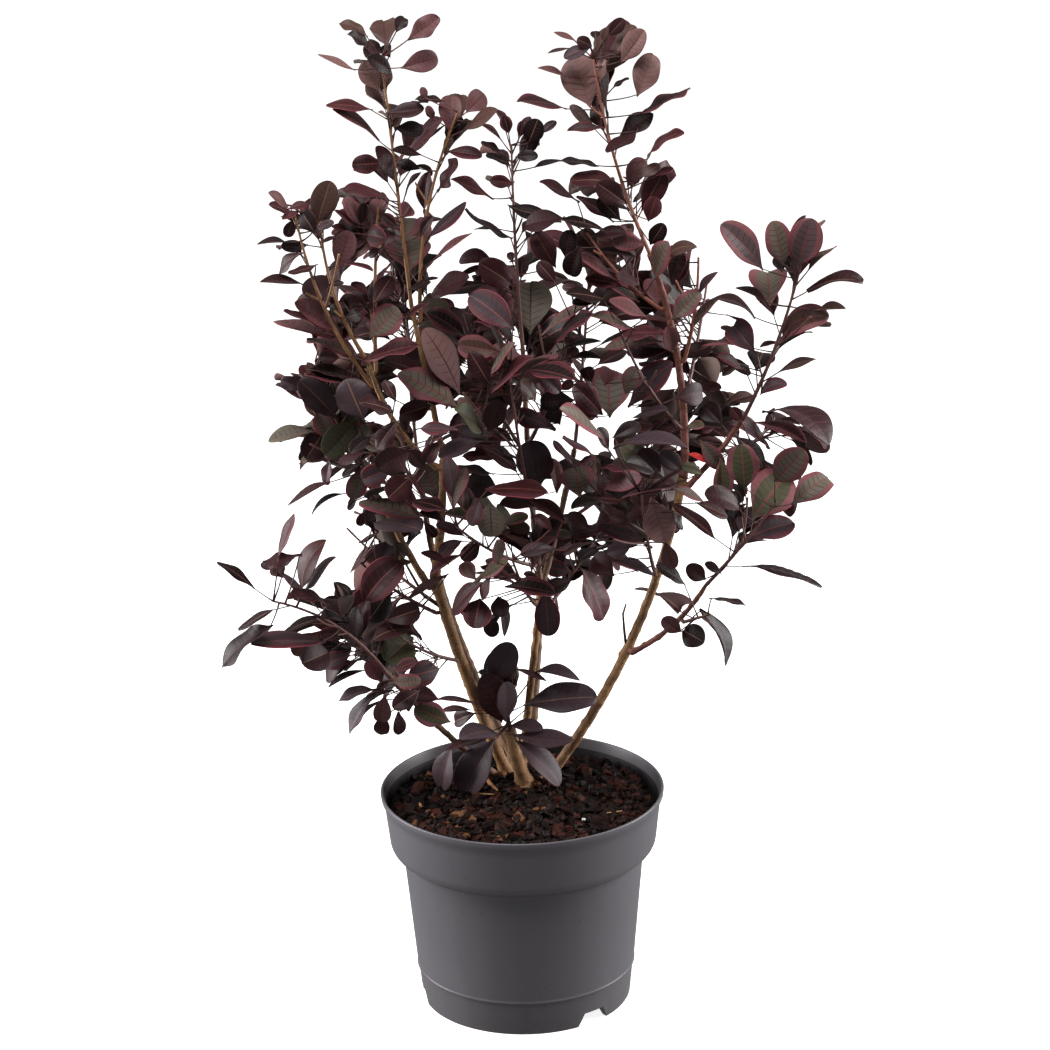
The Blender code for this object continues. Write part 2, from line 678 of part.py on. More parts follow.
def make_masses(limbs, clearance, finish, collection):
    """Shoots and side twigs of all masses first, then the leaves between them."""
    shoots = shoot_axes(limbs)
    for name, axis in shoots.items():
        clearance.place(twig_solid(axis), owner=name)
    twigs = {name: grow_twigs(name, axis, clearance) for name, axis in shoots.items()}
    lines = {}
    for name, axis in shoots.items():
        lines[name] = [axis.point(step / SPACE_POINTS) for step in range(SPACE_POINTS + 1)]
        for twig in twigs[name]:
            lines[name] += [twig.point(0.5), twig.point(1)]
    for name, axis in shoots.items():
        mass = MASSES[name]
        blade = mass.blade * MM
        leaves = grow_leaves(name, name, axis, mass.leaves, SHOOT_FIRST_LEAF, blade,
                             clearance, lines)
        for number, twig in enumerate(twigs[name]):
            label = "%s twig %d" % (name, number)
            leaves += grow_leaves(name, label, twig, TWIG_LEAVES, TWIG_FIRST_LEAF,
                                  blade * TWIG_BLADE_SHARE, clearance, lines)
        solids = [twig_solid(line) for line in [axis] + twigs[name]]
        solids += [leaf_solid(leaf) for leaf in leaves]
        fuse_mass(name, solids, finish, collection)


def make_plant(collection):
    """Stems and boughs, then every mass of foliage."""
    bark = material("bark", (0.23, 0.13, 0.065), 0.85)
    foliage = material("purple_leaf", (0.075, 0.028, 0.045), 0.5)
    limbs = limb_axes()
    clearance = Clearance()
    for name, axis in limbs.items():
        limb = make_limb(name, axis, bark, collection)
        clearance.place(solid_of(limb))
    make_masses(limbs, clearance, foliage, collection)


for old in list(bpy.data.objects):
    bpy.data.objects.remove(old, do_unlink=True)
bush = add_collection("purple_smoke_bush")
make_pot(bush)
make_soil(bush)
make_plant(bush)
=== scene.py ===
"""Looks of a potted purple smoke bush: pot, bark soil, stems, twigs and leaves."""

import math
import random
from collections import namedtuple

import bpy
import numpy as np
from mathutils import Matrix, Vector
from mathutils.bvhtree import BVHTree


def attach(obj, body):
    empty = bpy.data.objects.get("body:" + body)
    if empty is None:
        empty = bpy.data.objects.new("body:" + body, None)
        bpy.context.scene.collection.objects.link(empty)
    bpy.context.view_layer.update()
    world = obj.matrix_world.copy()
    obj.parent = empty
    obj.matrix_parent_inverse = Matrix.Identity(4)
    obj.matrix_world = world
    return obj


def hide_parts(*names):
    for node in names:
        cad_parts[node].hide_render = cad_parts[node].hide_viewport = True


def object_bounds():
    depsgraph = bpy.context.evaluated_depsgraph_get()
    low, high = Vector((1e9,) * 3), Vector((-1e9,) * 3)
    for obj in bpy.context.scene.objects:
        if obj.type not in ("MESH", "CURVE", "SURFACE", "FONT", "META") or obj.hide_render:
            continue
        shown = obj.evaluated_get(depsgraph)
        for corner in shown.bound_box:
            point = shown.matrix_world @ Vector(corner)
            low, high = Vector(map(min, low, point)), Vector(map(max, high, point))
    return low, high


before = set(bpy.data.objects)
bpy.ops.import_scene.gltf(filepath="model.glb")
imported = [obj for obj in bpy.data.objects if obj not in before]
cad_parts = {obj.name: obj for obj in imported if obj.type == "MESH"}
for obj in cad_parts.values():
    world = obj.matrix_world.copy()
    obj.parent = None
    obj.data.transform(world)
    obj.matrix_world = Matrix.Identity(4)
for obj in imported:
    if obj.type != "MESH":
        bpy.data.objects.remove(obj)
cad_low, cad_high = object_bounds()

# The studio is white, and the picture is taken from a little above with a long lens.
# Wide soft lamps stand to the left and right, a little behind the plant, and one
# hangs over it, so that the pot is bright at its sides and dark at its front.
MM = 0.001
UP = Vector((0, 0, 1))
PICTURE_WIDTH = 1050
FOCAL_PIXELS = 3525
CAMERA_PLACE = Vector((0, -3.0, 1.483))
CAMERA_PITCH = math.radians(18.83)
CAMERA_ROLL = math.radians(-1.25)
CAMERA_YAW = math.radians(0.15)
PLANT_MIDDLE = Vector((0, 0, 0.5))
FLOOR_SIDE = 60.0
FLOOR_GLOW = 0.86
DOME_SIDES = 24
DOME_ROWS = 12


def camera_turn():
    """Turn of the camera, with its right, its up and its back as columns."""
    ahead = Vector((math.sin(CAMERA_YAW) * math.cos(CAMERA_PITCH),
                    math.cos(CAMERA_YAW) * math.cos(CAMERA_PITCH), -math.sin(CAMERA_PITCH)))
    level = Vector((math.cos(CAMERA_YAW), -math.sin(CAMERA_YAW), 0))
    rolled = Matrix.Rotation(CAMERA_ROLL, 3, -ahead) @ level
    return Matrix((rolled, rolled.cross(ahead), -ahead)).transposed()


def in_picture(places):
    """Where places show in the picture, in its pixels."""
    seen = (np.array(places) - np.array(CAMERA_PLACE)) @ np.array(camera_turn())
    return PICTURE_WIDTH / 2 - FOCAL_PIXELS * seen[:, :2] / seen[:, 2:] * (1, -1)


def from_picture(x, y, depth):
    """Place at a depth that shows at a point of the picture."""
    half = PICTURE_WIDTH / 2
    ray = camera_turn() @ Vector(((x - half) / FOCAL_PIXELS, (half - y) / FOCAL_PIXELS, -1))
    return CAMERA_PLACE + ray * ((depth - CAMERA_PLACE.y) / ray.y)


def add_camera():
    """Camera at the picture's place, turn and focal length."""
    data = bpy.data.cameras.new("camera")
    data.sensor_width = 36
    data.lens = FOCAL_PIXELS / PICTURE_WIDTH * data.sensor_width
    camera = bpy.data.objects.new("camera", data)
    camera.matrix_world = Matrix.Translation(CAMERA_PLACE) @ camera_turn().to_4x4()
    bpy.context.scene.collection.objects.link(camera)
    bpy.context.scene.camera = camera


def add_lamp(name, place, width, height, power, tint=(1, 1, 1)):
    """Soft rectangular lamp that faces the middle of the plant."""
    data = bpy.data.lights.new(name, "AREA")
    data.shape = "RECTANGLE"
    data.size = width
    data.size_y = height
    data.energy = power
    data.color = tint
    lamp = bpy.data.objects.new(name, data)
    lamp.location = place
    lamp.rotation_euler = (PLANT_MIDDLE - Vector(place)).to_track_quat("-Z", "Y").to_euler()
    bpy.context.scene.collection.objects.link(lamp)


add_camera()
add_lamp("left_lamp", (-1.9, 0.3, 0.8), 1.0, 1.8, 72)
add_lamp("right_lamp", (1.9, 0.35, 0.8), 1.0, 1.8, 70)
add_lamp("top_lamp", (-0.3, -0.9, 2.6), 1.2, 1.0, 50)
studio = bpy.data.worlds.new("studio")
studio.use_nodes = True
studio.node_tree.nodes["Background"].inputs["Color"].default_value = (1, 1, 1, 1)
studio.node_tree.nodes["Background"].inputs["Strength"].default_value = 0.25
bpy.context.scene.world = studio
bpy.context.scene.view_settings.view_transform = "Standard"


class Skin:
    """Points and four-cornered faces that are gathered into one mesh."""

    def __init__(self):
        """Nothing is gathered yet."""
        self.points = []
        self.quads = []
        self.slots = []
        self.count = 0

    def add(self, points, quads, slots):
        """Add points, faces between them, and a material slot for each face."""
        points = np.asarray(points, float)
        quads = np.asarray(quads, int)
        self.points.append(points)
        self.quads.append(quads + self.count)
        self.slots.append(np.broadcast_to(slots, len(quads)))
        self.count += len(points)

    def piece(self, name, finishes, body="root", smooth=True):
        """Object of all that was gathered, riding on its body."""
        points = np.concatenate(self.points).astype(np.float32)
        quads = np.concatenate(self.quads).astype(np.int32)
        mesh = bpy.data.meshes.new(name)
        mesh.vertices.add(len(points))
        mesh.vertices.foreach_set("co", points.ravel())
        mesh.loops.add(quads.size)
        mesh.loops.foreach_set("vertex_index", quads.ravel())
        mesh.polygons.add(len(quads))
        mesh.polygons.foreach_set("loop_start", np.arange(len(quads), dtype=np.int32) * 4)
        for finish in finishes:
            mesh.materials.append(finish)
        mesh.polygons.foreach_set("material_index", np.concatenate(self.slots).astype(np.int32))
        mesh.polygons.foreach_set("use_smooth", np.full(len(quads), smooth))
        mesh.update()
        mesh.validate()
        made = bpy.data.objects.new(name, mesh)
        bpy.context.scene.collection.objects.link(made)
        if body:
            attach(made, body)
        return made


class Value:
    """Number that varies over a surface. Sums and products add Math nodes."""

    def __init__(self, finish, socket):
        """Wrap one socket of a finish."""
        self.finish = finish
        self.socket = socket

    def maths(self, operation, first, second):
        """Result of one Math node."""
        made = self.finish.node("Math", {"operation": operation}, {0: first, 1: second})
        return Value(self.finish, made.outputs[0])

    def __add__(self, other):
        return self.maths("ADD", self, other)

    def __sub__(self, other):
        return self.maths("SUBTRACT", self, other)

    def __rsub__(self, other):
        return self.maths("SUBTRACT", other, self)

    def __mul__(self, other):
        return self.maths("MULTIPLY", self, other)

    def __pow__(self, other):
        return self.maths("POWER", self, other)

    __radd__ = __add__
    __rmul__ = __mul__


class Finish:
    """Material with a Principled shader and the nodes that vary it."""

    def __init__(self, name, **fixed):
        """Plain material, with the shader's fixed values."""
        self.material = bpy.data.materials.new(name)
        self.material.use_nodes = True
        self.tree = self.material.node_tree
        self.shader = self.tree.nodes["Principled BSDF"]
        for socket, value in fixed.items():
            self.set(socket.replace("_", " ").title(), value)
        self.place = self.tree.nodes.new("ShaderNodeTexCoord").outputs["Object"]

    def join(self, value, socket):
        """Give a socket a value, a colour or a link."""
        if isinstance(value, Value):
            value = value.socket
        if isinstance(value, bpy.types.NodeSocket):
            self.tree.links.new(value, socket)
        elif isinstance(value, tuple) and len(value) == 3 and len(socket.default_value) == 4:
            socket.default_value = (*value, 1)
        else:
            socket.default_value = value

    def set(self, name, value):
        """Give the shader one value, colour or link."""
        names = {"Ior": "IOR", "Specular": "Specular IOR Level"}
        self.join(value, self.shader.inputs[names.get(name, name)])

    def node(self, kind, settings=None, sockets=None):
        """New node with its settings and the values of its sockets."""
        made = self.tree.nodes.new("ShaderNode" + kind)
        for name, value in (settings or {}).items():
            if name == "stops":
                made.color_ramp.elements[0].position, made.color_ramp.elements[1].position = value
            else:
                setattr(made, name, value)
        for name, value in (sockets or {}).items():
            self.join(value, made.inputs[name])
        return made

    def stretched(self, scale):
        """Place on the surface, stretched by a scale for X, Y and Z."""
        return self.node("Mapping", {}, {"Vector": self.place, "Scale": scale}).outputs[0]

    def noise(self, size, detail=2.0, place=None, sharp=None):
        """Noise from 0 to 1 with spots of a size in metres, sharpened between two stops."""
        made = self.node("TexNoise", {}, {"Vector": place or self.place, "Scale": 1 / size,
                                          "Detail": detail})
        if not sharp:
            return Value(self, made.outputs[0])
        ramp = self.node("ValToRGB", {"stops": sharp}, {0: made.outputs[0]})
        return Value(self, ramp.outputs[0])

    def cells(self, size, sharp, place=None):
        """Spots of a size in metres: 0 at a spot's middle and 1 away from it."""
        made = self.node("TexVoronoi", {}, {"Vector": place or self.place, "Scale": 1 / size})
        ramp = self.node("ValToRGB", {"stops": sharp}, {0: made.outputs["Distance"]})
        return Value(self, ramp.outputs[0])

    def mix(self, factor, first, second):
        """Colour between two colours."""
        made = self.node("Mix", {"data_type": "RGBA"}, {0: factor, 6: first, 7: second})
        return made.outputs[2]

    def relief(self, height, depth):
        """Bump from a height, with a depth in metres."""
        made = self.node("Bump", {}, {"Height": height, "Distance": depth, "Strength": 1.0})
        self.set("Normal", made.outputs[0])


def add_surroundings():
    """White floor and a wide white dome behind it, which only the camera sees."""
    half = FLOOR_SIDE / 2
    sheet = Skin()
    sheet.add([(-half, -half, 0), (half, -half, 0), (half, half, 0), (-half, half, 0)],
              [(0, 1, 2, 3)], 0)
    turns = np.arange(DOME_SIDES + 1) / DOME_SIDES * math.tau
    rises = np.arange(DOME_ROWS + 1) / DOME_ROWS * math.pi - math.pi / 2
    dome = Skin()
    points = [(math.cos(turn) * math.cos(rise) * half, math.sin(turn) * math.cos(rise) * half,
               math.sin(rise) * half) for rise in rises for turn in turns]
    quads = [(row * (DOME_SIDES + 1) + side, (row + 1) * (DOME_SIDES + 1) + side,
              (row + 1) * (DOME_SIDES + 1) + side + 1, row * (DOME_SIDES + 1) + side + 1)
             for row in range(DOME_ROWS) for side in range(DOME_SIDES)]
    dome.add(points, quads, 0)
    for name, skin, glow in (("floor", sheet, FLOOR_GLOW), ("backdrop", dome, 1.05)):
        white = Finish("studio_" + name, base_color=(0.8, 0.8, 0.8), roughness=0.9,
                       specular=0.0, emission_color=(1, 1, 1), emission_strength=glow)
        made = skin.piece(name, [white.material], body=None)
        made.visible_diffuse = False
        made.visible_glossy = False
        made.visible_transmission = False
        made.visible_shadow = False


add_surroundings()

# The pot is blown or moulded in one piece from recycled grey polypropylene. It has a
# rolled lip, a deep collar for stacking, a step near the foot, and notches in the
# foot ring that let water out. Its face is satin, with faint flow marks and dust.
GAP = 0.3 * MM
POT_HEIGHT = 205 * MM
RIM_RADIUS = 130.8 * MM
COLLAR_TOP_RADIUS = 127.2 * MM
COLLAR_FOOT_RADIUS = 122.6 * MM
COLLAR_DEPTH = 53 * MM
SHOULDER_DROP = 7.5 * MM
BODY_TOP_RADIUS = 111.2 * MM
STEP_HEIGHT = 33 * MM
STEP_RADIUS = 101.2 * MM
STEP_DEPTH = 0.9 * MM
FOOT_RADIUS = 97 * MM
FOOT_WIDTH = 6 * MM
WALL = 1.9 * MM
LIP_DROP = 12 * MM
CHANNEL_HEIGHT = 14 * MM
CHANNEL_SLOPE = 4 * MM
DISC_RADIUS = 62 * MM
NOTCH_WIDTH = 36 * MM
NOTCH_TOP_WIDTH = 22 * MM
NOTCH_HEIGHT = 13 * MM
NOTCH_CUT_DEPTH = 18 * MM
NOTCH_HEADINGS = (-51, 69, 189)
POT_SIDES = 180


def rounded(corners, steps=4):
    """Line of (radius, height) with each corner cut to a round of its own radius."""
    line = []
    for number, (radius, height, turn) in enumerate(corners):
        here = np.array((radius, height))
        if turn <= 0:
            line.append(here)
            continue
        before = np.array(corners[number - 1][:2]) - here
        after = np.array(corners[number + 1][:2]) - here
        first = here + before / np.hypot(*before) * min(turn, np.hypot(*before) * 0.45)
        last = here + after / np.hypot(*after) * min(turn, np.hypot(*after) * 0.45)
        for step in range(steps + 1):
            share = step / steps
            line.append(first * (1 - share) ** 2 + here * 2 * share * (1 - share)
                        + last * share ** 2)
    return np.array(line)


def turned_skin(profile, sides):
    """Surface of revolution about Z from a line that starts and ends near the axis."""
    angles = np.arange(sides) / sides * math.tau
    ring = np.stack([np.cos(angles), np.sin(angles)], 1)
    points = np.concatenate([
        np.column_stack([ring * radius, np.full(sides, height)]) for radius, height in profile
    ])
    quads = []
    for row in range(len(profile) - 1):
        for side in range(sides):
            after = (side + 1) % sides
            quads.append((row * sides + side, (row + 1) * sides + side,
                          (row + 1) * sides + after, row * sides + after))
    quads += cap(sides, 0, True) + cap(sides, (len(profile) - 1) * sides, False)
    return points, quads


def cap(sides, first, turned_over):
    """Faces that close a ring of an even number of points."""
    faces = []
    for number in range(sides // 2 - 1):
        face = (first + number, first + number + 1,
                first + sides - 2 - number, first + sides - 1 - number)
        faces.append(face[::-1] if turned_over else face)
    return faces


def pot_profile():
    """Pot's section: up the inside, over the lip, down the outside and under the foot."""
    collar_foot = POT_HEIGHT - COLLAR_DEPTH
    body_top = collar_foot - SHOULDER_DROP
    floor = CHANNEL_HEIGHT + WALL
    foot_wall = FOOT_RADIUS + (STEP_RADIUS - STEP_DEPTH - FOOT_RADIUS) * floor / STEP_HEIGHT
    tiny = 0.2 * MM
    return rounded([
        (tiny, WALL, 0),
        (DISC_RADIUS - WALL, WALL, 0),
        (DISC_RADIUS - WALL + CHANNEL_SLOPE, floor, 1 * MM),
        (foot_wall - WALL, floor, 2 * MM),
        (STEP_RADIUS - STEP_DEPTH - WALL, STEP_HEIGHT, 1 * MM),
        (BODY_TOP_RADIUS - WALL, body_top, 3 * MM),
        (COLLAR_FOOT_RADIUS - WALL, collar_foot, 5 * MM),
        (COLLAR_TOP_RADIUS - WALL, POT_HEIGHT - LIP_DROP, 6 * MM),
        (RIM_RADIUS - 2.6 * MM, POT_HEIGHT - 0.5 * MM, 0.7 * MM),
        (RIM_RADIUS - 1.6 * MM, POT_HEIGHT, 0.5 * MM),
        (RIM_RADIUS, POT_HEIGHT - 0.3 * MM, 0.9 * MM),
        (RIM_RADIUS - 0.5 * MM, POT_HEIGHT - 5 * MM, 1.5 * MM),
        (COLLAR_TOP_RADIUS, POT_HEIGHT - LIP_DROP, 4 * MM),
        (COLLAR_FOOT_RADIUS, collar_foot, 6 * MM),
        (BODY_TOP_RADIUS + 0.4 * MM, body_top, 1.8 * MM),
        (BODY_TOP_RADIUS - 0.2 * MM, body_top - 3 * MM, 0.8 * MM),
        (STEP_RADIUS + 0.1 * MM, STEP_HEIGHT + 2.6 * MM, 0.6 * MM),
        (STEP_RADIUS + 0.6 * MM, STEP_HEIGHT + 1.2 * MM, 0.5 * MM),
        (STEP_RADIUS + 0.5 * MM, STEP_HEIGHT, 0.4 * MM),
        (STEP_RADIUS - STEP_DEPTH, STEP_HEIGHT - STEP_DEPTH, 0.5 * MM),
        (FOOT_RADIUS, 0, 1.5 * MM),
        (FOOT_RADIUS - FOOT_WIDTH, 0, 1.2 * MM),
        (FOOT_RADIUS - FOOT_WIDTH - CHANNEL_SLOPE, CHANNEL_HEIGHT, 2 * MM),
        (DISC_RADIUS + CHANNEL_SLOPE, CHANNEL_HEIGHT, 2 * MM),
        (DISC_RADIUS, 0, 1 * MM),
        (tiny, 0, 0),
    ])


def cut_notch(pot, number, heading):
    """Cut one slanted notch through the foot ring."""
    cutter = Skin()
    corners = []
    for x in (-0.5, 0.5):
        for y, z in ((-0.5, -1 * MM), (0.5, -1 * MM), (0.5, NOTCH_HEIGHT), (-0.5, NOTCH_HEIGHT)):
            width = NOTCH_WIDTH if z < 0 else NOTCH_TOP_WIDTH
            corners.append((FOOT_RADIUS + x * NOTCH_CUT_DEPTH, y * width, z))
    cutter.add(corners, [(0, 3, 2, 1), (4, 5, 6, 7), (0, 1, 5, 4), (1, 2, 6, 5), (2, 3, 7, 6),
                         (3, 0, 4, 7)], 0)
    wedge = cutter.piece("notch_%d" % number, [], body=None)
    wedge.rotation_euler.z = math.radians(heading)
    cut = pot.modifiers.new(wedge.name, "BOOLEAN")
    cut.operation = "DIFFERENCE"
    cut.object = wedge
    graph = bpy.context.evaluated_depsgraph_get()
    pot.data = bpy.data.meshes.new_from_object(pot.evaluated_get(graph))
    pot.modifiers.clear()
    bpy.data.objects.remove(wedge)


def pot_finish():
    """Satin grey plastic with a faint purple cast, flow marks, dust and a few specks."""
    grey = Finish("pot_plastic", specular=0.5)
    cloud = grey.noise(0.07, 3)
    flow = grey.noise(0.012, 2, grey.stretched((1, 1, 0.08)))
    speck = grey.cells(0.011, (0.035, 0.06)) ** 2
    low = grey.node("SeparateXYZ", {}, {0: grey.place}).outputs["Z"]
    dust = (1 - Value(grey, low) * (1 / (45 * MM))) * grey.noise(0.015, 4, sharp=(0.45, 0.7))
    dust = Value(grey, grey.node("Clamp", {}, {0: dust}).outputs[0])
    face = grey.mix(cloud * 0.6 + flow * 0.4, (0.098, 0.090, 0.103), (0.125, 0.117, 0.130))
    face = grey.mix(speck, (0.045, 0.035, 0.032), face)
    grey.set("Base Color", grey.mix(dust * 0.5, face, (0.09, 0.075, 0.058)))
    grey.set("Roughness", flow * 0.10 + cloud * 0.10 + dust * 0.2 + 0.30)
    grey.relief(flow * 0.5 + grey.noise(0.0015, 2) * 0.25, 0.05 * MM)
    return grey.material


def shaded_inside_finish():
    """Inside of the pot: the same plastic, given a near-black colour as painted shade, since the inside lies
    in shade.
    """
    inside = Finish("pot_inside_shade", specular=0.4)
    shade_mottle = inside.noise(0.02, 4)
    # Painted shade: two near-black tones of the plastic, mottled by noise, stand for the shade inside the
    # pot.
    inside.set("Base Color", inside.mix(shade_mottle, (0.013, 0.011, 0.011), (0.034, 0.031, 0.036)))
    inside.set("Roughness", shade_mottle * 0.3 + 0.3)
    return inside.material


def make_pot():
    """Pot with notches, in place of its plain node."""
    skin = Skin()
    profile = pot_profile()
    points, quads = turned_skin(profile, POT_SIDES)
    lip = int(np.argmax(profile[:, 1] > POT_HEIGHT - LIP_DROP))
    # Faces up the inside, to just under the lip, take the second finish, the painted shade.
    skin.add(points, quads, (np.arange(len(quads)) < lip * POT_SIDES).astype(int))
    pot = skin.piece("nursery_pot", [pot_finish(), shaded_inside_finish()])
    for number, heading in enumerate(NOTCH_HEADINGS):
        cut_notch(pot, number, heading)
    pot.data.shade_smooth()
    pot.data.set_sharp_from_angle(angle=math.radians(32))
    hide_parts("pot")


make_pot()

# The pot is filled to just under its rim with composted pine bark: loose chips of 4 to
# 12 mm, nearly black when moist, with a few red and tan ones, and grains of perlite.
SOIL_EDGE_HEIGHT = 189.5 * MM
SOIL_TOP_HEIGHT = 191 * MM
SOIL_RADIUS = 121.5 * MM
CHIP_COUNT = 2300
CHIP_KINDS = {
    "black_bark": ((0.0050, 0.0024, 0.0018), 0.38),
    "brown_bark": ((0.0120, 0.0046, 0.0032), 0.37),
    "red_bark": ((0.0340, 0.0088, 0.0054), 0.17),
    "tan_bark": ((0.12, 0.050, 0.022), 0.018),
    "perlite": ((0.62, 0.60, 0.55), 0.002),
}


def chip_finish(name, color):
    """Dull chip with darker fibres and a dusting of fines."""
    bark = Finish(name, specular=0.1)
    fibres = bark.noise(0.0022, 4)
    light = tuple(min(1, part * 1.7) for part in color)
    bark.set("Base Color", bark.mix(fibres, tuple(part * 0.45 for part in color), light))
    bark.set("Roughness", fibres * 0.35 + 0.38)
    bark.relief(fibres, 0.5 * MM)
    return bark.material


def soil_height(reach):
    """Height of the soil's mound at a distance from the middle."""
    share = min(reach / SOIL_RADIUS, 1)
    return SOIL_TOP_HEIGHT - (SOIL_TOP_HEIGHT - SOIL_EDGE_HEIGHT) * share ** 3


def chip(dice, size, flatness):
    """Points and faces of one broken chip: a block with its corners knocked about."""
    length = size * dice.uniform(0.75, 1.35)
    half = np.array((length, size * dice.uniform(0.4, 0.8), size * flatness)) / 2
    steps = (-1, 0, 1)
    points = []
    for x in steps:
        for y in steps:
            for z in steps:
                corner = np.array((x, y, z), float)
                norm = np.linalg.norm(corner)
                if norm:
                    corner *= (0.62 + 0.38 / norm) * dice.uniform(0.78, 1.12)
                points.append(corner * half)
    turn = Matrix.Rotation(dice.uniform(0, math.tau), 3, "Z")
    turn = Matrix.Rotation(dice.gauss(0, 0.5), 3, "X") @ turn
    turn = Matrix.Rotation(dice.gauss(0, 0.4), 3, "Y") @ turn
    return np.array(points) @ np.array(turn).T


def chip_faces():
    """Faces of a block with two steps a side."""
    def at(x, y, z):
        return x * 9 + y * 3 + z
    faces = []
    for a in (0, 1):
        for b in (0, 1):
            square = ((a, b), (a + 1, b), (a + 1, b + 1), (a, b + 1))
            for level, order in ((0, -1), (2, 1)):
                faces.append([at(p, q, level) for p, q in square][::order])
                faces.append([at(q, level, p) for p, q in square][::order])
                faces.append([at(level, p, q) for p, q in square][::order])
    return faces


def make_soil():
    """Mound of fines with chips strewn over it, in place of the plain plug."""
    dice = random.Random("bark chips")
    bed = Skin()
    rings = 26
    line = [(SOIL_RADIUS * (rings - ring) / rings, 0) for ring in range(rings)]
    profile = [(0.2 * MM, SOIL_EDGE_HEIGHT - 20 * MM), (SOIL_RADIUS - 2 * MM,
                                                      SOIL_EDGE_HEIGHT - 20 * MM)]
    profile += [(radius, soil_height(radius) - 2 * MM) for radius, _ in line]
    profile.append((0.2 * MM, SOIL_TOP_HEIGHT - 2 * MM))
    points, quads = turned_skin(profile, 96)
    points = np.asarray(points)
    top = points[:, 2] > SOIL_EDGE_HEIGHT - 10 * MM
    lumps = np.sin(points[:, 0] * 410 + 1) * np.sin(points[:, 1] * 370) \
        + np.sin(points[:, 0] * 900) * np.cos(points[:, 1] * 840 + 2) * 0.5
    points[top, 2] += lumps[top] * 0.8 * MM
    quads = [face[::-1] for face in quads]
    bed.add(points, quads, 0)
    names = list(CHIP_KINDS)
    finishes = {name: chip_finish(name, color) for name, (color, _) in CHIP_KINDS.items()}
    fines = bed.piece("soil_bed", [finishes["black_bark"]], smooth=False)
    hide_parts("soil")
    chips = Skin()
    faces = chip_faces()
    weights = [share for _, share in CHIP_KINDS.values()]
    for number in range(CHIP_COUNT):
        reach = (SOIL_RADIUS - 4.5 * MM) * math.sqrt(dice.random())
        angle = dice.uniform(0, math.tau)
        kind = dice.choices(range(len(names)), weights)[0]
        size = dice.uniform(4.5, 12.5) * MM * (1.0 if dice.random() < 0.88 else 1.4)
        if names[kind] == "perlite":
            size = dice.uniform(1.8, 3.0) * MM
        lift = dice.uniform(-2.5, 2.2) * MM
        place = (reach * math.cos(angle), reach * math.sin(angle), soil_height(reach) + lift)
        room = SOIL_RADIUS - reach
        shape = chip(dice, min(size, room * 1.6), dice.uniform(0.3, 0.7))
        chips.add(shape + np.array(place), faces, kind)
    strewn = chips.piece("bark_chips", [finishes[name] for name in names], smooth=False)
    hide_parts("soil")


make_soil()


# Two straws, a short stick, a long chip and a grain of perlite lie loose on the soil.
# Each is given by its two ends in millimetres and its radius.
LITTER = {
    "straw": ((0.42, 0.24, 0.105), (((-44, 10), (-21, 8), 0.75), ((76, -42), (91, -36), 0.6))),
    "stick": ((0.30, 0.145, 0.066), (((-36, 53), (-24, 17), 2.1), ((-98, 2), (-93, -16), 1.6))),
    "grain": ((0.72, 0.70, 0.64), (((54, -55), (56.5, -54), 1.3),)),
}


def make_litter():
    """The loose bits, each a thin bar that lies on the chips."""
    bits = Skin()
    for kind, (_, bars) in enumerate(LITTER.values()):
        for first, last, radius in bars:
            first = Vector(first).to_3d() * MM + UP * (soil_height(0) + 4 * MM)
            last = Vector(last).to_3d() * MM + UP * (soil_height(0) + 3 * MM)
            places = [first.lerp(last, share) for share in (0, 0.04, 0.5, 0.96, 1)]
            points, quads = tube(places, [radius * part * MM for part in (0.6, 1, 1, 1, 0.6)], 6)
            bits.add(points, quads, kind)
    loose = bits.piece("soil_litter", [chip_finish(name, each[0]) for name, each in LITTER.items()])
    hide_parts("soil")


# Seven stems stand on the soil, one of them an old cut stub, and fork into boughs. The
# bark is thin: orange-brown with dark leaf scars and pale dots on the old wood. The limbs
# at the back, the low ones and the middle leader get a darker copy of the bark, which is
# painted shade. Limbs taper, and swell where they stand and fork.
Limb = namedtuple("Limb", "carrier share heading reach rise bow foot_radius tip_radius")
LIMBS = {
    "stub_stem": Limb((2, 38), 0, 233, 20, 62, 0.05, 7.0, 5.6),
    "right_stem": Limb((24, 45), 0, -3, 129, 302, 0.116, 4.9, 3.6),
    "right_leader": Limb("right_stem", 1, 199, 31, 208, -0.10, 3.8, 2.6),
    "right_bough": Limb("right_stem", 0.97, -22, 54, 66, 0.04, 2.8, 2.2),
    "right_low_bough": Limb("right_stem", 0.46, -31, 77, 74, 0.12, 2.8, 2.1),
    "left_stem": Limb((-15, 68), 0, 210, 69, 207, 0.04, 5.6, 5.0),
    "left_bough": Limb("left_stem", 0.98, 205, 46, 88, 0.03, 3.4, 2.4),
    "left_crook": Limb("left_stem", 1, 290, 32, 124, 0.08, 4.4, 3.2),
    "left_leader": Limb("left_crook", 1, 185, 24, 143, 0.0, 2.8, 2.1),
    "left_front_bough": Limb("left_crook", 0.95, 225, 82, 113, 0.15, 2.6, 2.0),
    "middle_stem": Limb((0, 74), 0, -49, 32, 184, 0.0, 3.8, 3.2),
    "middle_leader": Limb("middle_stem", 1, 160, 12, 228, 0.02, 3.0, 2.2),
    "low_left_stem": Limb((-27, 60), 0, 230, 142, 147, 0.03, 3.2, 2.2),
    "back_left_stem": Limb((-6, 86), 0, 131, 104, 154, 0.06, 4.6, 3.4),
    "back_right_stem": Limb((8, 88), 0, 80, 78, 143, 0.06, 4.6, 3.4),
    "back_left_bough": Limb("back_left_stem", 1, 125, 30, 110, 0.04, 3.2, 2.6),
    "back_right_bough": Limb("back_right_stem", 1, 50, 55, 130, 0.04, 3.2, 2.6),
}
STEM_SIDES = 22
RING_STEP = 1.5 * MM
FLARE = 0.5
FLARE_HEIGHT = 16 * MM
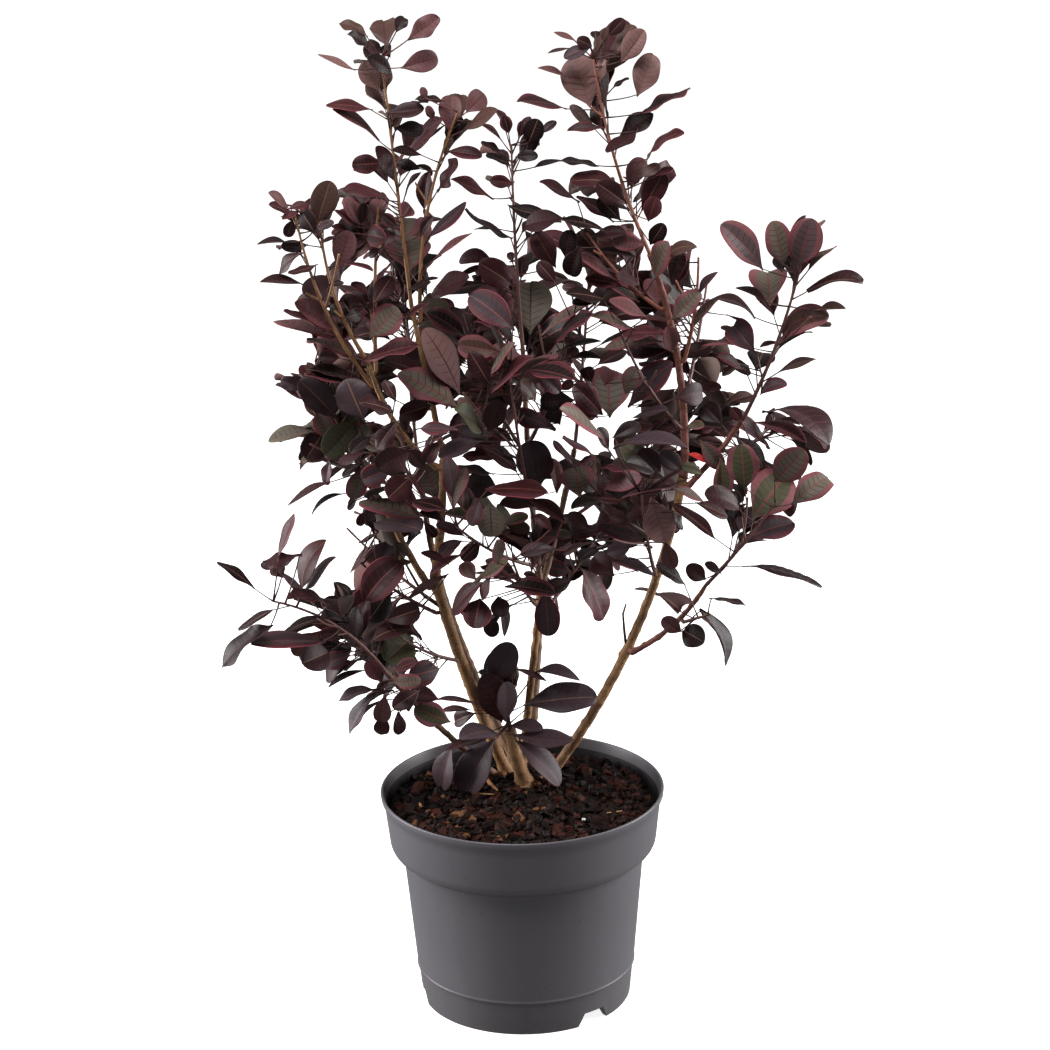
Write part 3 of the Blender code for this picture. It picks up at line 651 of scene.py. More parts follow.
FORK_SWELL = 0.16
FORK_SPAN = 7 * MM
SCAR_STEP = 24 * MM
SCAR_RADIUS = 2.4 * MM
SCAR_HEIGHT = 0.75 * MM
DOT_AREA = 34 * MM * MM
DOT_RADIUS = 0.75 * MM
DOT_HEIGHT = 0.22 * MM


def heading_vector(heading):
    """Level unit vector at a heading in degrees."""
    return Vector((math.cos(math.radians(heading)), math.sin(math.radians(heading)), 0))


class Line:
    """Smooth line of a limb, shoot or twig, with its taper."""

    def __init__(self, seat, outward, heading, reach, rise, bow, radii, heel=3 * MM):
        """Leave the seat outwards by a heel, then curve towards the tip."""
        self.seat = seat
        self.start = seat + outward * heel
        self.end = seat + heading_vector(heading) * reach + UP * rise
        chord = self.end - self.start
        sag = heading_vector(heading) * chord.z - UP * chord.xy.length
        self.middle = (self.start + self.end) / 2 + sag * bow
        self.radii = radii
        self.length = chord.length

    def point(self, share):
        """Point at a share of the length."""
        rest = 1 - share
        return self.start * rest * rest + self.middle * 2 * rest * share \
            + self.end * share * share

    def tangent(self, share):
        """Direction at a share of the length."""
        way = (self.middle - self.start) * (1 - share) + (self.end - self.middle) * share
        return way.normalized()

    def radius(self, share):
        """Radius at a share of the length."""
        return self.radii[0] + (self.radii[1] - self.radii[0]) * share


def seat_on(carrier, share, heading, rise, reach, radius):
    """Where a limb starts on its carrier, and which way it leaves."""
    if share >= 1:
        return carrier.end, carrier.tangent(1)
    tangent = carrier.tangent(share)
    aim = (heading_vector(heading) * reach + UP * rise).normalized()
    outward = (aim - tangent * aim.dot(tangent)).normalized()
    return carrier.point(share) + outward * carrier.radius(share), outward


def limb_lines():
    """Line of every stem and bough, by name."""
    lines = {}
    for name, limb in LIMBS.items():
        radii = (limb.foot_radius * MM, limb.tip_radius * MM)
        reach, rise = limb.reach * MM, limb.rise * MM
        if limb.carrier in LIMBS:
            carrier = lines[limb.carrier]
            seat, outward = seat_on(carrier, limb.share, limb.heading, rise, reach, radii[0])
        else:
            x, y = limb.carrier
            seat, outward = Vector((x * MM, y * MM, SOIL_TOP_HEIGHT)), UP
        lines[name] = Line(seat, outward, limb.heading, reach, rise, limb.bow, radii)
    return lines


def tube(places, radii, sides, lumps=None):
    """Points and faces of a capped tube. Lumps are heights for each ring and side."""
    places = np.array(places)
    ways = np.gradient(places, axis=0)
    ways /= np.linalg.norm(ways, axis=1, keepdims=True)
    side = np.cross(ways[0], (0.31, 0.87, 0.38))
    angles = np.arange(sides) / sides * math.tau
    rings = []
    for number, (place, way) in enumerate(zip(places, ways)):
        side = side - way * side.dot(way)
        side /= np.linalg.norm(side)
        across = np.cross(way, side)
        reach = radii[number] + (lumps[number] if lumps is not None else 0)
        reach = np.broadcast_to(reach, sides)
        rings.append(place + side * (np.cos(angles) * reach)[:, None]
                     + across * (np.sin(angles) * reach)[:, None])
    quads = []
    for row in range(len(places) - 1):
        for number in range(sides):
            after = (number + 1) % sides
            quads.append((row * sides + number, row * sides + after,
                          (row + 1) * sides + after, (row + 1) * sides + number))
    quads += cap(sides, 0, True) + cap(sides, (len(places) - 1) * sides, False)
    return np.concatenate(rings), quads


def bark_relief(dice, ring_places, sides, radius, scars):
    """Heights of leaf scars, dots and slow lumps, for each ring and side."""
    angles = np.arange(sides) / sides * math.tau
    length = ring_places[-1]
    along, around = np.meshgrid(ring_places, angles, indexing="ij")
    height = np.zeros_like(along)
    for wave in range(5):
        pitch = dice.uniform(9, 34) * MM
        height += 0.09 * MM * np.sin(along / pitch * math.tau + dice.uniform(0, 6)
                                     + np.round(dice.uniform(-2, 2)) * around)

    def spot(place, angle, reach, rise, squeeze=1.0):
        """Rounded bump on the bark."""
        turn = (around - angle + math.pi) % math.tau - math.pi
        away = ((along - place) / (reach * squeeze)) ** 2 + (turn * radius / reach) ** 2
        return rise * np.exp(-away)

    if scars:
        place = dice.uniform(0.3, 1) * SCAR_STEP
        angle = dice.uniform(0, math.tau)
        while place < length:
            rise = SCAR_HEIGHT * dice.uniform(0.6, 1.2)
            height += spot(place, angle, SCAR_RADIUS * 1.5, rise, 0.55)
            height -= spot(place + 1.1 * MM, angle, SCAR_RADIUS * 0.5, rise * 0.8)
            height += 0.16 * MM * np.exp(-((along - place) / (1.1 * MM)) ** 2)
            place += SCAR_STEP * dice.uniform(0.6, 1.4)
            angle += math.radians(137.5)
    for dot in range(int(length * math.tau * radius / DOT_AREA)):
        height += spot(dice.uniform(0, length), dice.uniform(0, math.tau),
                       DOT_RADIUS * dice.uniform(0.6, 1.3), DOT_HEIGHT, 0.7)
    return height


def bark_finish(name, light, dark, scar):
    """Thin bark: streaked along the limb, with dark patches and dots."""
    bark = Finish(name, specular=0.35)
    streak = bark.noise(0.0035, 4, bark.stretched((1, 1, 0.18)))
    patch = bark.noise(0.016, 3, sharp=(0.42, 0.64))
    face = bark.mix(streak, dark, light)
    face = bark.mix(patch * 0.7, face, tuple(part * 0.55 for part in dark))
    dots = bark.cells(0.0034, (0.16, 0.30))
    face = bark.mix(1 - dots * 1.0, face, scar)
    bark.set("Base Color", face)
    bark.set("Roughness", streak * 0.25 + 0.5)
    bark.relief(streak + patch * 0.6, 0.35 * MM)
    return bark.material


def make_limbs(lines):
    """Every stem and bough with its bark, in place of the plain limbs."""
    old = bark_finish("old_bark", (0.50, 0.285, 0.140), (0.24, 0.120, 0.055),
                      (0.085, 0.045, 0.026))
    # A darker copy of the same bark, painted shade for the limbs that lie in shade.
    shade = bark_finish("shaded_bark", (0.27, 0.150, 0.085), (0.12, 0.062, 0.038),
                        (0.050, 0.028, 0.020))
    red = bark_finish("red_bark", (0.38, 0.150, 0.110), (0.190, 0.064, 0.050),
                      (0.070, 0.034, 0.026))
    for name, line in lines.items():
        dice = random.Random("bark of " + name)
        limb = LIMBS[name]
        on_soil = limb.carrier not in LIMBS
        sink = 5 * MM if on_soil else min(lines[limb.carrier].radius(limb.share), 4 * MM)
        root = line.seat - (line.start - line.seat).normalized() * sink
        count = max(8, int(line.length / RING_STEP))
        places = [root, line.seat] + [line.point(ring / count) for ring in range(count + 1)]
        steps = [0] + [(b - a).length for a, b in zip(places, places[1:])]
        ring_places = np.cumsum(steps)
        radii = [line.radius(0)] * 2 + [line.radius(ring / count) for ring in range(count + 1)]
        radii = np.array(radii)
        height = ring_places - sink
        if on_soil:
            radii *= 1 + FLARE * np.clip(1 - height / FLARE_HEIGHT, 0, 1) ** 1.5
        else:
            radii *= 1 + FORK_SWELL * np.exp(-(height / FORK_SPAN) ** 2)
        forks = [other for other in LIMBS.values() if other.carrier == name]
        for fork in forks:
            place = sink + fork.share * line.length
            radii *= 1 + FORK_SWELL * np.exp(-((ring_places - place) / FORK_SPAN) ** 2)
        lumps = bark_relief(dice, ring_places, STEM_SIDES, line.radius(0.5), True)
        for extra in range(1, 4):
            places.append(line.end + line.tangent(1) * extra * 0.4 * MM)
            radii = np.append(radii, line.radii[1] * (1 - 0.30 * extra))
            lumps = np.vstack([lumps, lumps[-1] * (1 - 0.3 * extra)])
        skin = Skin()
        points, quads = tube(places, radii, STEM_SIDES, lumps)
        skin.add(points, quads, 0)
        # Painted shade: the limbs at the back, the low ones and the middle leader take the darker copy of
        # the bark.
        finish = shade if name.startswith(("back", "low", "middle_leader")) else old
        finish = red if name.startswith("right") and name != "right_stem" else finish
        limb_piece = skin.piece(name + "_bark", [finish])
        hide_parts(name)


limb_by_name = limb_lines()
make_limbs(limb_by_name)
make_litter()


# From the boughs grow this year's and last year's shoots, with side twigs and short
# spurs. They are smooth and thin, golden on the young left shoots, red on the right
# leader and purple-brown elsewhere. Each shoot starts a mass of foliage.
Mass = namedtuple("Mass", "carrier share heading reach rise bow leaves blade twigs spray")
MASSES = {
    "left_spire": Mass("left_leader", 1, 180, 19, 222, 0.0, 19, 44, 0, "tip"),
    "left_spire_side": Mass("left_leader", 0.9, -20, 44, 190, -0.12, 12, 42, 0, "tip"),
    "left_curved_shoot": Mass("left_front_bough", 1, 209, 42, 142, 0.14, 11, 44, 0, "tip"),
    "left_upright_shoot": Mass("left_front_bough", 0.94, 340, 10, 148, -0.03, 11, 44, 0, "middle"),
    "left_outer_shoot": Mass("left_front_bough", 0.85, 214, 72, 162, 0.12, 11, 42, 1, "tip"),
    "middle_spire": Mass("middle_leader", 1, 143, 8, 192, 0.02, 15, 46, 1, "dark"),
    "right_spire": Mass("right_leader", 1, 194, 49, 178, 0.07, 19, 50, 0, "tip"),
    "right_spire_outer": Mass("right_leader", 0.5, -55, 26, 100, 0.10, 11, 50, 1, "blush"),
    "right_spire_inner": Mass("right_leader", 0.75, 195, 70, 75, 0.10, 8, 50, 0, "blush"),
    "right_tip": Mass("right_bough", 1, -45, 68, 155, 0.06, 14, 54, 1, "outer"),
    "right_side": Mass("right_bough", 0.6, -12, 60, 26, 0.05, 8, 58, 1, "outer"),
    "right_low_tip": Mass("right_low_bough", 1, -32, 72, 92, 0.03, 12, 56, 1, "outer"),
    "right_foot": Mass("right_low_bough", 0.62, -40, 32, 12, 0.0, 5, 46, 0, "outer"),
    "right_inner": Mass("right_leader", 0.2, 226, 80, 105, 0.08, 10, 56, 1, "blush"),
    "right_underside": Mass("right_stem", 0.8, 225, 80, 60, 0.08, 7, 54, 0, "outer"),
    "middle_right": Mass("middle_leader", 0.65, 300, 80, 130, 0.08, 11, 58, 1, "middle"),
    "middle_left": Mass("middle_leader", 0.6, 215, 65, 140, 0.08, 10, 56, 1, "middle"),
    "front_upper": Mass("middle_leader", 0.35, 262, 130, 170, 0.08, 12, 60, 1, "middle"),
    "front_low": Mass("middle_stem", 0.95, 258, 110, 82, 0.08, 9, 54, 1, "middle"),
    "front_middle": Mass("middle_leader", 0.12, 232, 115, 70, 0.08, 9, 60, 1, "olive"),
    "front_right": Mass("right_stem", 0.7, 262, 130, 120, 0.08, 10, 54, 1, "middle"),
    "front_left": Mass("left_crook", 0.6, 250, 115, 110, 0.08, 10, 60, 1, "olive"),
    "left_side": Mass("left_bough", 1, 172, 56, 80, 0.06, 10, 52, 1, "olive"),
    "left_upper": Mass("left_bough", 0.8, 183, 62, 150, 0.08, 10, 54, 1, "middle"),
    "left_low": Mass("left_stem", 0.85, 200, 75, 60, 0.08, 8, 54, 0, "dark"),
    "left_foot": Mass("left_stem", 0.62, 238, 90, 50, 0.06, 7, 50, 0, "dark"),
    "low_left_inner": Mass("low_left_stem", 0.75, 250, 50, 52, 0.05, 8, 42, 0, "dark"),
    "low_left_outer": Mass("low_left_stem", 0.95, 160, 46, 55, 0.05, 9, 50, 0, "outer"),
    "low_left_tip": Mass("low_left_stem", 1, 217, 118, 98, -0.15, 14, 54, 1, "outer"),
    "stub_rosette": Mass("stub_stem", 1, 250, 4, 22, 0.0, 12, 60, 0, "stub"),
    # The masses at the back take the dark spray, whose near-black tint is partly painted shade.
    "left_back": Mass("left_leader", 0.3, 110, 110, 100, 0.08, 9, 54, 1, "dark"),
    "right_back": Mass("right_leader", 0.3, 75, 105, 85, 0.08, 9, 54, 1, "dark"),
    "middle_back": Mass("middle_leader", 0.7, 92, 120, 100, 0.08, 9, 54, 1, "dark"),
    "back_left_top": Mass("back_left_bough", 1, 112, 32, 190, 0.03, 12, 52, 1, "dark"),
    "back_left_side": Mass("back_left_bough", 0.6, 165, 105, 110, 0.06, 10, 54, 1, "dark"),
    "back_left_low": Mass("back_left_stem", 0.9, 155, 100, 65, 0.06, 8, 54, 1, "dark"),
    "back_right_top": Mass("back_right_bough", 1, 62, 40, 180, 0.03, 12, 52, 1, "dark"),
    "back_right_side": Mass("back_right_bough", 0.5, 5, 120, 90, 0.06, 10, 54, 1, "dark"),
    "back_right_low": Mass("back_right_stem", 0.9, 50, 100, 65, 0.06, 8, 54, 1, "dark"),
}
GOLDEN_SHOOTS = ("left_spire", "left_spire_side", "left_curved_shoot",
                 "left_upright_shoot", "left_outer_shoot")
RED_SHOOTS = ("right_spire", "right_spire_outer", "right_spire_inner")
CLOSED_CROWN = np.array((
    (455, 335, 40), (500, 375, 45), (545, 340, 35), (560, 395, 36), (525, 470, 42),
    (640, 460, 40), (690, 425, 38), (440, 480, 42), (350, 400, 38), (345, 455, 26),
    (400, 490, 32), (540, 520, 34), (525, 590, 30), (610, 520, 34), (705, 365, 30),
    (350, 240, 24), (620, 260, 26), (400, 440, 34), (470, 300, 28), (470, 520, 30),
    (610, 440, 30), (600, 485, 34), (570, 545, 28), (660, 350, 26), (360, 310, 24),
    (480, 425, 32), (500, 500, 36), (605, 560, 18), (510, 590, 26), (575, 380, 34),
    (660, 430, 34), (715, 430, 26), (420, 360, 26), (385, 465, 30), (550, 480, 34),
    (580, 284, 13), (625, 205, 22), (660, 200, 13), (640, 352, 18), (583, 432, 22),
    (480, 368, 18), (485, 467, 24), (500, 520, 26), (488, 575, 28), (622, 432, 18),
    (398, 365, 18), (415, 525, 26), (460, 610, 18), (375, 505, 18), (530, 300, 22),
))
OPENINGS = np.array((
    (578, 274, 8), (533, 273, 9), (556, 290, 6), (585, 307, 8), (602, 334, 9),
    (590, 365, 8), (470, 371, 7), (527, 401, 5), (541, 433, 8), (580, 449, 10),
    (622, 413, 7), (650, 400, 6), (495, 215, 15), (490, 240, 13), (460, 300, 8),
    (384, 349, 9), (392, 388, 8), (427, 417, 8), (381, 417, 7), (466, 461, 8),
    (497, 474, 9), (566, 495, 9), (591, 515, 9), (432, 544, 11), (488, 547, 10),
    (474, 560, 8), (491, 591, 10), (410, 580, 12), (431, 568, 7), (523, 570, 8),
    (580, 590, 12), (704, 256, 13), (733, 298, 13), (695, 480, 10), (350, 480, 8),
))
SHOOT_FOOT_RADIUS = 1.9 * MM
SHOOT_TIP_RADIUS = 0.95 * MM
TWIG_FIRST = 0.3
TWIG_SPAN = 0.4
TWIG_LENGTH_SHARE = 0.38
TWIG_RADIUS_SHARE = 0.7
TWIG_LEAN = 42
TWIG_MARGIN = 2
TWIG_LIFT = 0.25
TWIG_BOW = 0.06
TWIG_SIDES = 8
TWIG_RING_STEP = 3.0 * MM
SPUR_LENGTH = 15 * MM
SPUR_LEAN = 50
BARE_TWIGS = (
    ("right_stem", ((622, 646), (624, 628), (623, 614), (626, 604))),
    ("left_stem", ((437, 614), (424, 596), (412, 575), (407, 566), (402, 556), (392, 546))),
)
BARE_TWIG_RADII = (1.5 * MM, 0.8 * MM)


def turned_out(tangent, turn):
    """Unit vector square to a tangent, at a turn in degrees round it."""
    side = tangent.orthogonal().normalized()
    return Matrix.Rotation(math.radians(turn), 3, tangent) @ side


def fills_crown(points, margin, depths=None):
    """Whether all points show where the crown is closed, or just behind a leaf seen there."""
    shown = in_picture(points)[:, None]
    if (np.hypot(*(shown - OPENINGS[:, :2]).T).T < OPENINGS[:, 2]).any():
        return False
    closed = np.hypot(*(shown - CLOSED_CROWN[:, :2]).T).T < CLOSED_CROWN[:, 2]
    way = SEEN_ROWS[:, 2:4] - SEEN_ROWS[:, :2]
    share = ((shown - SEEN_ROWS[:, :2]) * way).sum(2) / (way ** 2).sum(1)
    away = shown - SEEN_ROWS[:, :2] - np.clip(share, 0, 1)[:, :, None] * way
    beside = np.hypot(*away.T).T < SEEN_ROWS[:, 4] / 2 + margin
    if depths is not None and (beside & (np.array(points)[:, 1:2] < depths)).any():
        return False
    return bool((closed.any(1) | beside.any(1)).all())


class Clearance:
    """Remembers what is placed, and tells if a new surface touches it."""

    def __init__(self):
        """Nothing is placed yet."""
        self.owners = []
        self.trees = []
        self.middles = np.zeros((0, 3))
        self.reaches = np.zeros(0)

    def place(self, surface, owner=None):
        """Remember a surface, and the mass that owns it."""
        middle, reach = self.measured(surface)
        self.middles = np.vstack([self.middles, middle])
        self.reaches = np.append(self.reaches, reach)
        self.owners.append(owner)
        self.trees.append(self.tree(surface))

    def measured(self, surface):
        """Middle and reach of a surface."""
        points = np.asarray(surface[0])
        middle = points.mean(0)
        return middle, np.linalg.norm(points - middle, axis=1).max()

    def tree(self, surface):
        """Search tree of a surface."""
        points, faces = surface
        return BVHTree.FromPolygons([tuple(point) for point in points], faces)

    def touches(self, surface, but=None):
        """Whether a surface touches one that is placed, other than those of one owner."""
        middle, reach = self.measured(surface)
        away = np.linalg.norm(self.middles - middle, axis=1)
        near = [number for number in np.flatnonzero(away < self.reaches + reach)
                if not but or self.owners[number] != but]
        if not near:
            return False
        tree = self.tree(surface)
        return any(tree.overlap(self.trees[number]) for number in near)


def guard_tube(line, margin=0.0):
    """Coarse tube round a line, which other pieces keep clear of."""
    shares = [number / 8 for number in range(9)]
    places = [line.point(share) for share in shares]
    return tube(places, [line.radius(share) + margin for share in shares], 4)


def side_line(line, share, turn, lean, length, radii):
    """Line of one side twig or spur."""
    tangent = line.tangent(share)
    out = turned_out(tangent, turn)
    lean = math.radians(lean)
    aim = tangent * math.cos(lean) + out * math.sin(lean) + UP * TWIG_LIFT
    aim = aim.normalized() * length
    heading = math.degrees(math.atan2(aim.y, aim.x))
    return Line(line.point(share), out, heading, aim.xy.length, aim.z, TWIG_BOW, radii, heel=0)


def shoot_lines(limbs):
    """Line of every mass's shoot, by name."""
    lines = {}
    for name, mass in MASSES.items():
        reach, rise = mass.reach * MM, mass.rise * MM
        carrier = limbs[mass.carrier]
        foot = min(SHOOT_FOOT_RADIUS, carrier.radius(mass.share))
        seat, outward = seat_on(carrier, mass.share, mass.heading, rise, reach, foot)
        lines[name] = Line(seat, outward, mass.heading, reach, rise, mass.bow,
                           (foot, SHOOT_TIP_RADIUS))
    return lines


def grow_twigs(name, line, clearance):
    """Side twigs of one shoot that touch no limb and no other mass's shoot."""
    dice = random.Random(name)
    twigs = []
    count = MASSES[name].twigs
    for number in range(count):
        share = TWIG_FIRST + TWIG_SPAN * (number + 0.5) / count
        for extra in (0, 120, 240):
            turn = dice.uniform(0, 360) + extra
            radii = (line.radius(share) * TWIG_RADIUS_SHARE, SHOOT_TIP_RADIUS)
            twig = side_line(line, share, turn, TWIG_LEAN, line.length * TWIG_LENGTH_SHARE, radii)
            guard = guard_tube(twig)
            if fills_crown(guard[0], TWIG_MARGIN) and not clearance.touches(guard, but=name):
                clearance.place(guard, owner=name)
                twigs.append(twig)
                break
    return twigs


def grow_spurs(name, line, count, clearance):
    """Short spurs in the leaf axils of one shoot."""
    dice = random.Random("spurs of " + name)
    spurs = []
    for number in range(count):
        share = 0.2 + 0.6 * (number + dice.random()) / count
        length = SPUR_LENGTH * dice.uniform(0.7, 1.5)
        radii = (SHOOT_TIP_RADIUS * 1.1, SHOOT_TIP_RADIUS * 0.8)
        for extra in (0, 120, 240):
            turn = dice.uniform(0, 360) + extra
            spur = side_line(line, share, turn, SPUR_LEAN, length, radii)
            guard = guard_tube(spur)
            if fills_crown(guard[0], TWIG_MARGIN) and not clearance.touches(guard, but=name):
                clearance.place(guard, owner=name)
                spurs.append(spur)
                break
    return spurs


def shoot_finish(name, light, dark):
    """Smooth young bark with a soft shine, streaked and a little mottled."""
    young = Finish(name, specular=0.4)
    streak = young.noise(0.003, 3, young.stretched((1, 1, 0.2)))
    young.set("Base Color", young.mix(streak, dark, light))
    young.set("Roughness", streak * 0.2 + 0.4)
    young.relief(streak, 0.15 * MM)
    return young.material


def bare_twig(carrier, shown):
    """Leafless twig that shows along points of the picture, at its carrier's depth."""
    places = [carrier.point(number / 40) for number in range(41)]
    away = np.hypot(*(in_picture(places) - np.array(shown[0])).T)
    foot = places[int(np.argmin(away))]
    spots = [foot] + [from_picture(*spot, foot.y) for spot in shown[1:]]
    radii = np.linspace(*BARE_TWIG_RADII, len(spots))
    return tube(spots, list(radii), TWIG_SIDES)


SHOOT_KINDS = {
    "golden": shoot_finish("golden_shoot", (0.37, 0.190, 0.082), (0.20, 0.088, 0.044)),
    "red": shoot_finish("red_shoot", (0.42, 0.165, 0.105), (0.21, 0.070, 0.050)),
    "purple": shoot_finish("purple_shoot", (0.19, 0.085, 0.070), (0.085, 0.036, 0.034)),
    "dead": shoot_finish("dead_twig", (0.085, 0.040, 0.030), (0.030, 0.015, 0.013)),
}


def twig_surface(line, dice, sink):
    """Thin tube of a shoot, twig or spur, a little uneven in thickness."""
    count = max(3, int(line.length / TWIG_RING_STEP))
    root = line.seat - (line.point(0.2) - line.seat).normalized() * sink
    places = [root] + [line.point(ring / count) for ring in range(count + 1)]
    radii = [line.radius(0)] + [
        line.radius(ring / count) * dice.uniform(0.93, 1.12) for ring in range(count + 1)
    ]
    places.append(line.end + line.tangent(1) * SHOOT_TIP_RADIUS)
    radii.append(SHOOT_TIP_RADIUS * 0.3)
    return tube(places, radii, TWIG_SIDES)


# Leaves are alternate, oval and broadest past the middle, 25 to 60 mm long on slender
# red stalks. The blade is pleated by straight side veins, folded along its midrib and
# curled. It is dark plum with a grey bloom, pink at the edge, and dusty pink beneath.
Leaf = namedtuple("Leaf", "root stalk blade face petiole length tint broad roll bow",
                  defaults=(0, 0, 0))
TINTS = {
    "plum": (0.030, 0.0080, 0.0095),
    "wine": (0.050, 0.0110, 0.0130),
    "slate": (0.050, 0.0310, 0.0375),
    "lilac": (0.074, 0.0500, 0.0600),
    "dusk": (0.088, 0.0540, 0.0570),
    "scarlet": (0.62, 0.048, 0.042),
    # The dusty pink tint on the lightest leaves is partly their own paler colour and partly painted
    # highlight, the light that falls on the top of the crown.
    "dusty": (0.205, 0.108, 0.100),
    "mauve": (0.122, 0.049, 0.051),
    "bronze": (0.074, 0.037, 0.029),
    "olive": (0.060, 0.060, 0.031),
    "grey_olive": (0.118, 0.097, 0.074),
    # Near-black plum: partly the leaves' own deep colour, partly painted shade, set darker than a leaf to
    # give the crown's deepest shadows.
    "black_plum": (0.0100, 0.0038, 0.0040),
}
UNDERSIDES = {
    "taupe": (0.080, 0.045, 0.037),
    "rose": (0.105, 0.046, 0.040),
    "stone": (0.073, 0.057, 0.047),
}
EDGES = {
    "pink_edge": (0.220, 0.040, 0.054),
    "dull_edge": (0.052, 0.0135, 0.0155),
}
BLUSHES = {
    "pink_blush": (0.175, 0.060, 0.066),
    "wine_blush": (0.072, 0.0180, 0.0220),
}
RIBS = {
    "pink_rib": (0.170, 0.047, 0.044),
    "pale_rib": (0.170, 0.094, 0.066),
    "dark_rib": (0.050, 0.0175, 0.0175),
}
SPRAYS = {
    "tip": {"bronze": 4, "wine": 4, "plum": 4, "mauve": 2},
    "blush": {"mauve": 4, "wine": 1, "grey_olive": 4, "slate": 1},
    # The light spray gives the leaves that show lightest the dusty tint: partly their own colour, partly
    # painted highlight.
    "light": {"dusty": 1},
    "middle": {"plum": 5, "slate": 4, "wine": 2, "mauve": 1, "grey_olive": 1, "black_plum": 3},
    "olive": {"olive": 3, "grey_olive": 3},
    "outer": {"black_plum": 5, "plum": 4, "slate": 1},
    # The dark spray goes to the masses at the back, low down and inside the crown, and to the leaves that
    # show darkest: mostly near-black plum, partly painted shade.
    "dark": {"black_plum": 6, "plum": 5, "wine": 1},
    "stub": {"lilac": 2, "slate": 6, "plum": 2},
    "grey": {"grey_olive": 1},
    "dusk": {"dusk": 1},
    "scarlet": {"scarlet": 1},
    "pale": {"dusty": 1, "mauve": 6, "bronze": 1},
    "red": {"wine": 5, "plum": 3},
    "bronze": {"bronze": 5, "plum": 1},
    "slate": {"slate": 5, "plum": 1},
}
PINK_SHARE = {"light": 0, "tip": 0.2, "blush": 1.0, "middle": 0.6, "olive": 0.6, "outer": 0.3, "dark": 0.15,
              "stub": 0.2, "grey": 0.5, "dusk": 1.0, "scarlet": 0, "pale": 0.15, "red": 0.4, "bronze": 0.15,
              "slate": 0.5}
